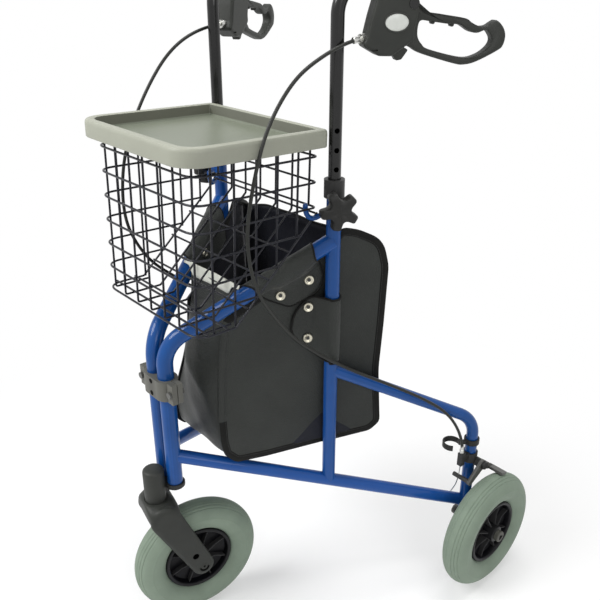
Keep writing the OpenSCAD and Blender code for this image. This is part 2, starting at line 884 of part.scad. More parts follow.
// Point halfway between two route points, on a smooth curve through their neighbours
function route_mid(route, i) =
  near_share * (route[i] + route[i + 1])
  - far_share * (route[max(i - 1, 0)] + route[min(i + 2, len(route) - 1)]);

function smooth_route(route) = [
  for (i = [0 : len(route) - 2]) each [route[i], route_mid(route, i)],
  route[len(route) - 1]
];

function route_ring(route, i, r) =
  let (
    t = route_dir(route, i),
    across = cross(t, [1, 0, 0]),
    u = across / norm(across),
    v = cross(u, t)
  )
  [for (k = [0 : cable_sides - 1])
    let (a = 360 * k / cable_sides)
    route[i] + r * (cos(a) * u + sin(a) * v)];

module cable(points_on_route) {
  route = smooth_route(points_on_route);
  n = len(route);
  k = cable_sides;
  points = [for (i = [0 : n - 1]) each route_ring(route, i, cable_d / 2)];
  walls = [for (i = [0 : n - 2]) for (j = [0 : k - 1])
    let (a = i * k + j, b = i * k + (j + 1) % k)
    each [[a, b, b + k], [a, b + k, a + k]]];
  first = [for (j = [1 : k - 2]) [0, j + 1, j]];
  last = [for (j = [1 : k - 2]) [(n - 1) * k, (n - 1) * k + j, (n - 1) * k + j + 1]];
  polyhedron(points = points, faces = concat(walls, first, last));
}

// Handles, in the left side frame's own directions

module knob() {
  seat = upright_r + boss_out + knob_seat;
  translate([0, upright_run, knob_z]) along_x() {
    translate([0, 0, upright_bore_r + seat_clear])
      cylinder(h = seat - upright_bore_r - seat_clear + over, r = shank_r);
    translate([0, 0, seat]) linear_extrude(knob_head_t) {
      circle(r = knob_core_r);
      for (i = [0 : lobe_count - 1])
        rotate(360 * i / lobe_count) link_outline([0, 0], lobe_r, [knob_r - lobe_r, 0], lobe_r - over);
    }
  }
}

module handle_tube() {
  run = grip_start + grip_l - grip_end_t;
  difference() {
    translate([0, upright_run, handle_foot_z])
      bent_tube(handle_bend_z - handle_foot_z, handle_bend_r, handle_turn, run - handle_cut,
        handle_r, tube_wall);
    for (i = [-holes_below : holes_above])
      translate([0, upright_run, knob_z + i * hole_pitch]) along_x()
        cylinder(h = handle_d, d = hole_d);
  }
}

module grip() {
  grip_place() translate([0, 0, grip_start]) difference() {
    rotate_extrude() polygon([
      for (i = [0 : len(grip_run_shares) - 1])
        [grip_swell_shares[i] * grip_d / 2, grip_run_shares[i] * grip_l]
    ]);
    translate([0, 0, -over]) cylinder(h = grip_l - grip_end_t + over, r = handle_r);
  }
}

module lever_body() {
  base_z = handle_corner_z - lever_body_drop;
  slot_y = lever_body_front + lever_body_l * slot_share;
  slot_w = lever_w + 2 * lever_side_clear;
  difference() {
    union() {
      translate([0, lever_body_front, base_z]) across_frame(lever_body_w)
        polygon(in_shares(lever_body_shares, lever_body_l, lever_body_h));
      grip_place() translate([0, 0, ring_start]) cylinder(h = ring_l, r = handle_r + ring_wall);
    }
    grip_place() cylinder(h = grip_start + grip_l, r = handle_r);
    translate([-slot_w / 2, slot_y, base_z - over])
      cube([slot_w, lever_body_l, lever_pin_z + lever_eye_r + over + seat_clear - base_z]);
    translate([0, lever_pin_y, lever_pin_z]) along_x()
      cylinder(h = lever_body_w + 2 * over, r = lever_pin_r, center = true);
  }
}

module lever_pin() {
  translate([0, lever_pin_y, lever_pin_z]) along_x() {
    cylinder(h = lever_body_w, r = lever_pin_r, center = true);
    for (side = [0, 1]) mirror([0, 0, side])
      translate([0, 0, lever_body_w / 2]) cylinder(h = pin_head_t, r = pin_head_r);
  }
}

module lever() {
  difference() {
    union() {
      translate([0, lever_front, handle_corner_z - lever_drop]) across_frame(lever_w) difference() {
        polygon(in_shares(lever_shares, lever_l, lever_h));
        polygon(in_shares(finger_shares, lever_l, lever_h));
      }
      translate([0, lever_pin_y, lever_pin_z]) along_x()
        cylinder(h = lever_w, r = lever_eye_r, center = true);
    }
    translate([0, lever_pin_y, lever_pin_z]) along_x()
      cylinder(h = lever_w + 2 * over, r = lever_pin_r + run_clear, center = true);
  }
}

// Bag

module bag_panel() {
  translate([-bag_inset - bag_t / 2, bag_front, bag_base_z]) across_frame(bag_t)
    polygon(in_shares(bag_shares, bag_l, bag_h));
}

// Half width of the bag between its side panels, at a distance back along a side frame
function bag_half(run) =
  pivot_x + run * sin(splay) - (bag_inset + bag_t + bag_gap) * cos(splay);

function bag_y(run) = pivot_y + run * cos(splay) + (bag_inset + bag_t + bag_gap) * sin(splay);

// Front wall, floor and back wall of the bag, between its side panels
module bag_gusset() {
  front = bag_front + bag_l * gusset_front_share;
  back = bag_front + bag_l * gusset_back_share;
  low = bag_base_z + bag_t * 2;
  outline = [
    [-bag_half(front), bag_y(front)], [bag_half(front), bag_y(front)],
    [bag_half(back), bag_y(back)], [-bag_half(back), bag_y(back)]
  ];
  color(black) {
    translate([0, 0, low]) linear_extrude(bag_t) polygon(outline);
    translate([-bag_half(front), bag_y(front), low])
      cube([2 * bag_half(front), bag_t, gusset_front_h]);
    translate([-bag_half(back - bag_t), bag_y(back) - bag_t, low])
      cube([2 * bag_half(back - bag_t), bag_t, gusset_back_h]);
  }
}

// Basket: straight wires side by side, with round corners on the front's rings

ring_heights = [for (i = [0 : ring_count]) basket_floor_z + i * mesh_pitch];
stake_xs = [for (i = [-stakes_each_side : stakes_each_side]) i * mesh_pitch];
slope_xs = [for (x = stake_xs) if (abs(x) < basket_half - mesh_pitch) x];
stake_ys = [for (i = [1 : side_stakes]) basket_front_y + i * mesh_pitch - stake_lead];

// Place of a front stake behind the ring's front run, and round its corners
function stake_y(x) =
  let (out = max(abs(x) - basket_half + wire_r + basket_corner_r, 0), r = basket_corner_r - stake_inset)
  basket_front_y + basket_corner_r - sqrt(r * r - out * out);

function slope_z(y) =
  y < slope_start_y ? basket_floor_z : basket_floor_z + (y - slope_start_y) * slope_rise / slope_run;

function slope_y(z) = slope_start_y + (z - basket_floor_z) * slope_run / slope_rise;

// Rear end of a side ring, in front of the slope's edge wire
function ring_end(z) =
  z > basket_floor_z ? min(slope_y(z) - slope_clear, basket_back_y) : slope_start_y - wire_r;

// One ring's front run, with a quarter turn at each end
module ring_front(z, r) {
  x = basket_half - wire_r;
  y = basket_front_y;
  rod([basket_corner_r - x, y, z], [x - basket_corner_r, y, z], r);
  for (side = [0, 1]) mirror([side, 0, 0])
    translate([x - basket_corner_r, y + basket_corner_r, z]) rotate([0, 0, -90])
      rotate_extrude(angle = 90) translate([basket_corner_r, 0]) circle(r = r);
}

module basket_front() {
  color(black) {
    for (z = ring_heights) ring_front(z, wire_r);
    ring_front(basket_rim_z, rim_wire_r);
    for (x = stake_xs)
      rod([x, stake_y(x), basket_floor_z - wire_r],
        [x, stake_y(x), basket_rim_z - rim_wire_r - wire_clear], wire_r);
  }
}

module basket_side() {
  x = basket_half - wire_r;
  front = basket_front_y + basket_corner_r;
  for (z = ring_heights)
    rod([x, front, z], [x, ring_end(z), z], wire_r);
  rod([x, front, basket_rim_z], [x, basket_back_y, basket_rim_z], rim_wire_r);
  for (y = stake_ys)
    rod([x - stake_inset, y, slope_z(y)],
      [x - stake_inset, y, basket_rim_z - rim_wire_r - wire_clear], wire_r);
}

module basket_left() {
  color(black) basket_side();
}

module basket_right() {
  color(black) mirror([1, 0, 0]) basket_side();
}

module basket_back() {
  x = basket_half - wire_d - wire_clear;
  rim_x = basket_half - wire_r - rim_wire_r - wire_clear;
  y = basket_back_y - wire_r;
  color(black) {
    for (z = [for (h = ring_heights) if (h > slope_top_z) h]) rod([-x, y, z], [x, y, z], wire_r);
    rod([-rim_x, y, basket_rim_z], [rim_x, y, basket_rim_z], rim_wire_r);
    for (s = stake_xs)
      rod([s, y - stake_inset, slope_top_z + 2 * wire_d],
        [s, y - stake_inset, basket_rim_z - rim_wire_r - wire_clear], wire_r);
  }
}

module basket_floor() {
  x = basket_half - wire_r;
  color(black) {
    for (s = stake_xs)
      rod([s, stake_y(s) + wire_r + wire_clear, basket_floor_z],
        [s, slope_start_y - wire_r, basket_floor_z], wire_r);
    for (share = floor_cross_shares)
      rod([-x, basket_front_y + floor_depth * share, basket_floor_z + stake_inset],
        [x, basket_front_y + floor_depth * share, basket_floor_z + stake_inset], wire_r);
  }
}

module basket_slope() {
  edge = basket_half - wire_r;
  color(black) translate([0, slope_start_y, basket_floor_z]) rotate([slope_angle, 0, 0]) {
    for (x = concat(slope_xs, [-edge, edge])) rod([x, 0, 0], [x, slope_l, 0], wire_r);
    for (share = slope_cross_shares)
      rod([-edge, slope_l * share, stake_inset], [edge, slope_l * share, stake_inset], wire_r);
  }
}

// Tray

// Tray outline drawn in from its edge, with the front corners rounder than the rear ones
module tray_outline(inset) {
  half = tray_w / 2 - inset;
  front = tray_front_y + inset;
  back = tray_front_y + tray_depth - inset;
  fr = tray_front_r - inset;
  rr = max(tray_rear_r - inset, over);
  for (side = [-1, 1]) {
    translate([side * (half - fr), front + fr]) circle(r = fr);
    translate([side * (half - rr), back - rr]) circle(r = rr);
  }
  translate([fr - half, front]) square([2 * (half - fr), back - front]);
  translate([-half, front + fr]) square([2 * half, back - rr - front - fr]);
  translate([rr - half, front + fr]) square([2 * (half - rr), back - front - fr]);
}

module tray() {
  floor_z = tray_top_z - tray_recess;
  base_z = tray_top_z - tray_h;
  color(tray_grey) difference() {
    translate([0, 0, base_z]) linear_extrude(tray_h) tray_outline(0);
    translate([0, 0, floor_z]) linear_extrude(tray_recess + over) tray_outline(tray_rim);
    translate([0, 0, base_z - over])
      linear_extrude(tray_h - tray_recess - tray_wall + over) tray_outline(tray_wall);
  }
}

module stick_clip() {
  color(black) left_side() clip_ring();
}

// Left side
module left_front_tube() { color(blue) left_side() front_tube(); }
module left_upright() { color(blue) left_side() upright(); }
module left_lower_rail() { color(blue) left_side() lower_rail(); }
module left_rear_tube() { color(blue) left_side() rear_tube(); }
module left_leg_plug() { color(black) left_side() leg_plug(); }
module left_collar() { color(black) left_side() collar(); }
module left_basket_hook() { color(blue) left_side() basket_hook(); }
module left_axle() { color(steel) left_leg() stub_axle(); }
module left_brake_bracket() { color(black) left_leg() brake_bracket(); }
module left_brake_arm() { color(graphite) left_leg() brake_arm(); }
module left_cable() { color(black) left_side() cable(left_route); }
module left_bag_panel() { color(black) left_side() bag_panel(); }
module left_knob() { color(black) left_side() knob(); }
module left_handle_tube() { color(black) left_side() handle_tube(); }
module left_grip() { color(graphite) left_side() grip(); }
module left_lever_body() { color(graphite) left_side() lever_body(); }
module left_lever_pin() { color(steel) left_side() lever_pin(); }
module left_lever() { color(graphite) left_side() lever(); }
module left_tyre() { color(tyre_grey) left_leg() rear_wheel_place() tyre(); }
module left_wheel_hub() { color(black) left_leg() rear_wheel_place() wheel_hub(); }

// Right side
module right_front_tube() { color(blue) right_side() front_tube(); }
module right_upright() { color(blue) right_side() upright(); }
module right_lower_rail() { color(blue) right_side() lower_rail(); }
module right_rear_tube() { color(blue) right_side() rear_tube(); }
module right_leg_plug() { color(black) right_side() leg_plug(); }
module right_collar() { color(black) right_side() collar(); }
module right_basket_hook() { color(blue) right_side() basket_hook(); }
module right_axle() { color(steel) right_leg() stub_axle(); }
module right_brake_bracket() { color(black) right_leg() brake_bracket(); }
module right_brake_arm() { color(graphite) right_leg() brake_arm(); }
module right_cable() { color(black) right_side() cable(right_route); }
module right_bag_panel() { color(black) right_side() bag_panel(); }
module right_knob() { color(black) right_side() knob(); }
module right_handle_tube() { color(black) right_side() handle_tube(); }
module right_grip() { color(graphite) right_side() grip(); }
module right_lever_body() { color(graphite) right_side() lever_body(); }
module right_lever_pin() { color(steel) right_side() lever_pin(); }
module right_lever() { color(graphite) right_side() lever(); }
module right_tyre() { color(tyre_grey) right_leg() rear_wheel_place() tyre(); }
module right_wheel_hub() { color(black) right_leg() rear_wheel_place() wheel_hub(); }

hub_moulding();
clamp_front();
clamp_rear();
clamp_bolts();
castor_bushes();
castor_fork();
castor_stem();
front_axle();
front_tyre();
front_wheel_hub();
left_front_tube();
left_upright();
left_lower_rail();
left_rear_tube();
left_collar();
left_basket_hook();
left_axle();
left_brake_bracket();
left_brake_arm();
left_cable();
left_bag_panel();
left_knob();
left_handle_tube();
left_grip();
left_lever_body();
left_lever_pin();
left_lever();
left_tyre();
left_wheel_hub();
left_leg_plug();
right_front_tube();
right_upright();
right_lower_rail();
right_rear_tube();
right_collar();
right_basket_hook();
right_axle();
right_brake_bracket();
right_brake_arm();
right_cable();
right_bag_panel();
right_knob();
right_handle_tube();
right_grip();
right_lever_body();
right_lever_pin();
right_lever();
right_tyre();
right_wheel_hub();
right_leg_plug();
stick_clip();
basket_front();
basket_left();
basket_right();
basket_back();
basket_floor();
basket_slope();
tray();
bag_gusset();
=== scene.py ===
"""Looks of the three wheel walking frame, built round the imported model."""

import json
import math

import bmesh
import bpy
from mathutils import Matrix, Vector


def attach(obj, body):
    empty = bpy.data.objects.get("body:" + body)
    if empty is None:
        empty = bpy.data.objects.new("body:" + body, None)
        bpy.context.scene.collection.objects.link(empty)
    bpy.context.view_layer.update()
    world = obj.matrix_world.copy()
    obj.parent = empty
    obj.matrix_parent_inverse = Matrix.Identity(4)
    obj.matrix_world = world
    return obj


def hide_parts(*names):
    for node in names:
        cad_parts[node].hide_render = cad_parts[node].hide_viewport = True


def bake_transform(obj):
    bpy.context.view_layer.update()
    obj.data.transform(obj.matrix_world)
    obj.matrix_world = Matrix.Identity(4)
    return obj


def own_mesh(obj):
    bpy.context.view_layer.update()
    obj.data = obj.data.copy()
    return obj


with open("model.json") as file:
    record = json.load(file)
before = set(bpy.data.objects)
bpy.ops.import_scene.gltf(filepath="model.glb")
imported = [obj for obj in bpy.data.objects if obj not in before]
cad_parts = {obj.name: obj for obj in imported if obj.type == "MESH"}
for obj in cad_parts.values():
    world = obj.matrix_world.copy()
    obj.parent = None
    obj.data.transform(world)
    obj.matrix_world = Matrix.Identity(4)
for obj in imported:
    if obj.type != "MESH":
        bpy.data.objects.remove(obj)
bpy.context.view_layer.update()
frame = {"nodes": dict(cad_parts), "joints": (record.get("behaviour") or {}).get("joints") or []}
scene = bpy.context.scene
MM = 0.001

# Main places, in millimetres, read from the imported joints
JOINTS = {j["name"]: j for j in frame["joints"]}


def joint_at(name):
    """Place of a packed joint."""
    return Vector(JOINTS[name]["pos_m"]) / MM


SPLAY = math.radians(28.4)
SIN, COS = math.sin(SPLAY), math.cos(SPLAY)
PIVOT = joint_at("left_fold")
CASTOR_Y = joint_at("castor_swivel").y
FRONT_WHEEL = joint_at("front_wheel_spin")
REAR_WHEEL = joint_at("left_wheel_spin")
WHEEL_R = REAR_WHEEL.z
YAW = math.radians(12.5)
FRAME_RUN = 453.0
UPRIGHT_RUN = 224.5
LEVER_PIN = (310.0, 867.83)
CORNER_Z = 901.83
DROOP, TILT = math.radians(5), math.radians(1.9)
SIDES, FACES = (("left", 1), ("right", -1)), (-1, 1)


# Places: functions from local millimetres to metres in the row frame

def side_place(sign):
    """Across, back and up along a side frame."""
    def place(p):
        x = PIVOT.x + p[1] * SIN + p[0] * COS
        y = PIVOT.y + p[1] * COS - p[0] * SIN
        return Vector((sign * x, y, p[2])) * MM
    return place


def castor_place(p):
    """Across the fork, back towards the trailing wheel, and up."""
    x = p[0] * math.cos(YAW) + p[1] * math.sin(YAW)
    y = CASTOR_Y - p[0] * math.sin(YAW) + p[1] * math.cos(YAW)
    return Vector((x, y, p[2])) * MM


def row_place(p):
    """Row frame, with back measured from the front tubes."""
    return Vector((p[0], PIVOT.y + p[1], p[2])) * MM


def rear_wheel_place(sign):
    """Out, back and up from a rear wheel's middle."""
    return lambda p: Vector((sign * (REAR_WHEEL.x + p[0]), REAR_WHEEL.y + p[1], WHEEL_R + p[2])) * MM


def front_wheel_place(p):
    """Across, back and up from the front wheel's middle."""
    trail = (FRONT_WHEEL.y - CASTOR_Y) / math.cos(YAW)
    return castor_place((p[0], trail + p[1], WHEEL_R + p[2]))


def grip_place(sign):
    """Along the grip from the handle's corner, across, and up from its axis."""
    place = side_place(sign)

    def put(p):
        run = UPRIGHT_RUN + p[0] * math.cos(DROOP) + p[2] * math.sin(DROOP)
        return place((p[1], run, CORNER_Z - p[0] * math.sin(DROOP) + p[2] * math.cos(DROOP)))
    return put


def tilt_place(back, up):
    """Row frame, front tilted up a little about a line across the basket."""
    def place(p):
        dy, dz = p[1] - back, p[2] - up
        y = back + dy * math.cos(TILT) + dz * math.sin(TILT)
        z = up - dy * math.sin(TILT) + dz * math.cos(TILT)
        return row_place((p[0], y, z))
    return place


# Mesh parts: most return vertices and faces in local millimetres

# fillets: most of an edge that one takes, and the least bend and cut worth rounding
EDGE_SHARE, LEAST_BEND, LEAST_CUT = 0.49, 0.05, 0.01
STEEP, LOOP_STEPS = 0.9, 6


def smooth(points, per, closed=False):
    """Smooth curve through the points."""
    pts = [Vector(p) for p in points]
    n = len(pts)
    out = []
    for i in range(n if closed else n - 1):
        b, c = pts[i], pts[(i + 1) % n]
        a = pts[i - 1] if closed or i > 0 else b * 2 - c
        d = pts[(i + 2) % n] if closed or i < n - 2 else c * 2 - b
        for k in range(per):
            t = k / per
            out.append(((b * 2) + (c - a) * t + (a * 2 - b * 5 + c * 4 - d) * t * t
                        + (b * 3 - a - c * 3 + d) * t ** 3) / 2)
    if not closed:
        out.append(pts[-1])
    return out


def fillet(points, radius, steps, closed=False):
    """Polyline with rounded corners."""
    pts = [Vector(p) for p in points]
    n = len(pts)
    radii = radius if isinstance(radius, (list, tuple)) else [radius] * n
    out = []
    for i, p in enumerate(pts):
        if not closed and i in (0, n - 1):
            out.append(p)
            continue
        to_a, to_b = pts[i - 1] - p, pts[(i + 1) % n] - p
        bend = math.pi - to_a.angle(to_b)
        cut = radii[i] * math.tan(bend / 2)
        cut = min(cut, to_a.length * EDGE_SHARE, to_b.length * EDGE_SHARE)
        a, b = p + to_a.normalized() * cut, p + to_b.normalized() * cut
        if bend < LEAST_BEND or cut < LEAST_CUT:
            out.append(p)
            continue
        for k in range(steps + 1):
            t = k / steps
            out.append(a * (1 - t) ** 2 + p * 2 * t * (1 - t) + b * t * t)
    return out


def circle(count):
    """Cosine and sine round a full turn."""
    turns = [2 * math.pi * k / count for k in range(count)]
    return [(math.cos(a), math.sin(a)) for a in turns]


def loft(rings, closed=False):
    """Skin through rings of equal count, capped where it is open."""
    m = len(rings[0])
    verts = [Vector(p) for ring in rings for p in ring]
    faces = []
    n = len(rings)
    for i in range(n if closed else n - 1):
        j = (i + 1) % n
        for k in range(m):
            q = (k + 1) % m
            faces.append([i * m + k, i * m + q, j * m + q, j * m + k])
    if not closed:
        faces.append(list(range(m))[::-1])
        faces.append([(n - 1) * m + k for k in range(m)])
    return verts, faces


def sweep(points, radius, sides, closed=False):
    """Round cord along points."""
    pts = [Vector(p) for p in points]
    n = len(pts)
    radii = radius if isinstance(radius, (list, tuple)) else [radius] * n
    tangents = []
    for i in range(n):
        a = pts[i - 1] if closed or i > 0 else pts[i]
        b = pts[(i + 1) % n] if closed or i < n - 1 else pts[i]
        tangents.append((b - a).normalized())
    guide = Vector((0, 0, 1)) if abs(tangents[0].z) < STEEP else Vector((1, 0, 0))
    u = tangents[0].cross(guide).normalized()
    rings = []
    for i in range(n):
        if i:
            u = tangents[i - 1].rotation_difference(tangents[i]) @ u
        u = (u - tangents[i] * u.dot(tangents[i])).normalized()
        v = tangents[i].cross(u)
        rings.append([pts[i] + (u * c + v * s) * radii[i] for c, s in circle(sides)])
    return loft(rings, closed)


def lathe(profile, steps, closed=False):
    """Profile of (along X, radius) turned about X."""
    return loft([[(a, r * c, r * s) for c, s in circle(steps)] for a, r in profile], closed)


def lathe_z(profile, centre=(0, 0), steps=48):
    """Profile of (height, radius) turned about Z at a centre."""
    verts, faces = lathe(profile, steps)
    return [Vector((centre[0] + v.z, centre[1] + v.y, v.x)) for v in verts], faces


def slab(outline, low, high):
    """Outline of (back, up) between two places across."""
    return loft([[(x, *p) for p in outline] for x in (low, high)])


def box(low, high):
    """Box between two corners."""
    (a, b, c), (d, e, f) = low, high
    return loft([[(a, b, z), (d, b, z), (d, e, z), (a, e, z)] for z in (c, f)])


def grid(rows):
    """Open sheet through rows of points."""
    m = len(rows[0])
    verts = [Vector(p) for row in rows for p in row]
    faces = [[i * m + k, i * m + k + 1, (i + 1) * m + k + 1, (i + 1) * m + k]
             for i in range(len(rows) - 1) for k in range(m - 1)]
    return verts, faces


def inset_loop(outline, inset):
    """Closed outline drawn in by its normals."""
    n = len(outline)
    out = []
    for i in range(n):
        d = (Vector(outline[(i + 1) % n]) - Vector(outline[i - 1])).normalized()
        out.append((outline[i][0] - d.y * inset, outline[i][1] + d.x * inset))
    return out


def even(outline, count):
    """Resamples a closed outline at even spacing."""
    pts = [Vector(p) for p in outline]
    lengths = [(pts[(i + 1) % len(pts)] - p).length for i, p in enumerate(pts)]
    total, out, i, done = sum(lengths), [], 0, 0.0
    for k in range(count):
        want = total * k / count
        while done + lengths[i] < want:
            done += lengths[i]
            i += 1
        p = pts[i].lerp(pts[(i + 1) % len(pts)], (want - done) / lengths[i])
        out.append((p.x, p.y))
    return out


def curve_loop(points, count):
    """Smooth closed outline through (back, up) points."""
    return even([(p.x, p.y) for p in smooth([(a, b, 0) for a, b in points], LOOP_STEPS, True)], count)


def round_loop(points, radius, count):
    """Closed outline with rounded corners."""
    return even([(p.x, p.y) for p in fillet([(a, b, 0) for a, b in points], radius, LOOP_STEPS, True)],
                count)


def between(value, table):
    """Straight interpolation in a table of (place, value)."""
    for (a, va), (b, vb) in zip(table, table[1:]):
        if value <= b:
            return va + (vb - va) * max(0.0, (value - a) / (b - a))
    return table[-1][1]


def ease(t):
    """Smooth step from 0 to 1."""
    t = min(1.0, max(0.0, t))
    return t * t * (3 - 2 * t)


def mirrored(half):
    """Profile on both sides of the middle."""
    return [(-a, r) for a, r in half[::-1]] + half


def moved(part, shift):
    """A part carried along."""
    return [v + Vector(shift) for v in part[0]], part[1]


# Materials

PATCH_DETAIL, PATCH_ROUGH, PATCH_SPAN = 5.0, 0.6, (0.3, 0.7)
WEAR_SPAN, BUMP_DETAIL, FINE_DEPTH = (0.52, 0.62), 3.0, 0.0004


def node(tree, kind, **values):
    """New shader node with its inputs and settings."""
    made = tree.nodes.new(kind)
    for key, value in values.items():
        if key in made.inputs:
            made.inputs[key].default_value = value
        else:
            setattr(made, key, value)
    return made


def fresh(owner):
    """Empty node tree of a material or a world."""
    owner.use_nodes = True
    owner.node_tree.nodes.clear()
    return owner.node_tree


def spread(tree, source, low, high):
    """Maps a 0 to 1 texture value to a range."""
    made = node(tree, "ShaderNodeMapRange", **{"To Min": low, "To Max": high})
    tree.links.new(source, made.inputs["Value"])
    return made.outputs["Result"]


def surface(name, dark, light, rough, patch, metallic=0.0, coat=0.0, coat_rough=0.1, sheen=0.0,
            bumps=(), specular=0.5, wear=None):
    """Procedural finish: colour and gloss vary over patches, and bumps add relief.
    bumps: (texture, scale, strength, distance); wear: (colour, amount) along raised edges."""
    mat = bpy.data.materials.new(name)
    tree = fresh(mat)
    join = tree.links.new
    out = node(tree, "ShaderNodeOutputMaterial")
    shader = node(tree, "ShaderNodeBsdfPrincipled", **{
        "Metallic": metallic, "Coat Weight": coat, "Coat Roughness": coat_rough, "Sheen Weight": sheen,
        "Specular IOR Level": specular})
    join(shader.outputs["BSDF"], out.inputs["Surface"])
    coords = node(tree, "ShaderNodeTexCoord").outputs["Object"]
    noise = node(tree, "ShaderNodeTexNoise", Scale=patch, Detail=PATCH_DETAIL, Roughness=PATCH_ROUGH)
    join(coords, noise.inputs["Vector"])
    ramp = node(tree, "ShaderNodeValToRGB")
    for stop, at, tone in zip(ramp.color_ramp.elements, PATCH_SPAN, (dark, light)):
        stop.position, stop.color = at, (*tone, 1)
    join(noise.outputs["Fac"], ramp.inputs["Fac"])
    colour = ramp.outputs["Color"]
    if wear:
        pointed = node(tree, "ShaderNodeNewGeometry").outputs["Pointiness"]
        edge = node(tree, "ShaderNodeValToRGB")
        for stop, at, amount in zip(edge.color_ramp.elements, WEAR_SPAN, (0.0, wear[1])):
            stop.position, stop.color = at, (amount, amount, amount, 1)
        join(pointed, edge.inputs["Fac"])
        mix = node(tree, "ShaderNodeMix", data_type="RGBA")
        join(edge.outputs["Color"], mix.inputs["Factor"])
        join(colour, mix.inputs["A"])
        mix.inputs["B"].default_value = (*wear[0], 1)
        colour = mix.outputs["Result"]
    join(colour, shader.inputs["Base Color"])
    join(spread(tree, noise.outputs["Fac"], *rough), shader.inputs["Roughness"])
    normal = None
    for texture, scale, strength, distance in bumps:
        if texture == "noise":
            made = node(tree, "ShaderNodeTexNoise", Scale=scale, Detail=BUMP_DETAIL)
            height = made.outputs["Fac"]
        elif texture == "grain":
            made = node(tree, "ShaderNodeTexVoronoi", Scale=scale, feature="DISTANCE_TO_EDGE")
            height = spread(tree, made.outputs["Distance"], 0.0, 1.0)
        else:
            made = node(tree, "ShaderNodeTexWave", Scale=scale, bands_direction=texture)
            height = made.outputs["Fac"]
        join(coords, made.inputs["Vector"])
        bump = node(tree, "ShaderNodeBump", Strength=strength, Distance=distance)
        join(height, bump.inputs["Height"])
        if normal:
            join(normal, bump.inputs["Normal"])
        normal = bump.outputs["Normal"]
    if normal:
        join(normal, shader.inputs["Normal"])
    return mat


def fine(scale, strength):
    """Fine even relief."""
    return [("noise", scale, strength, FINE_DEPTH)]


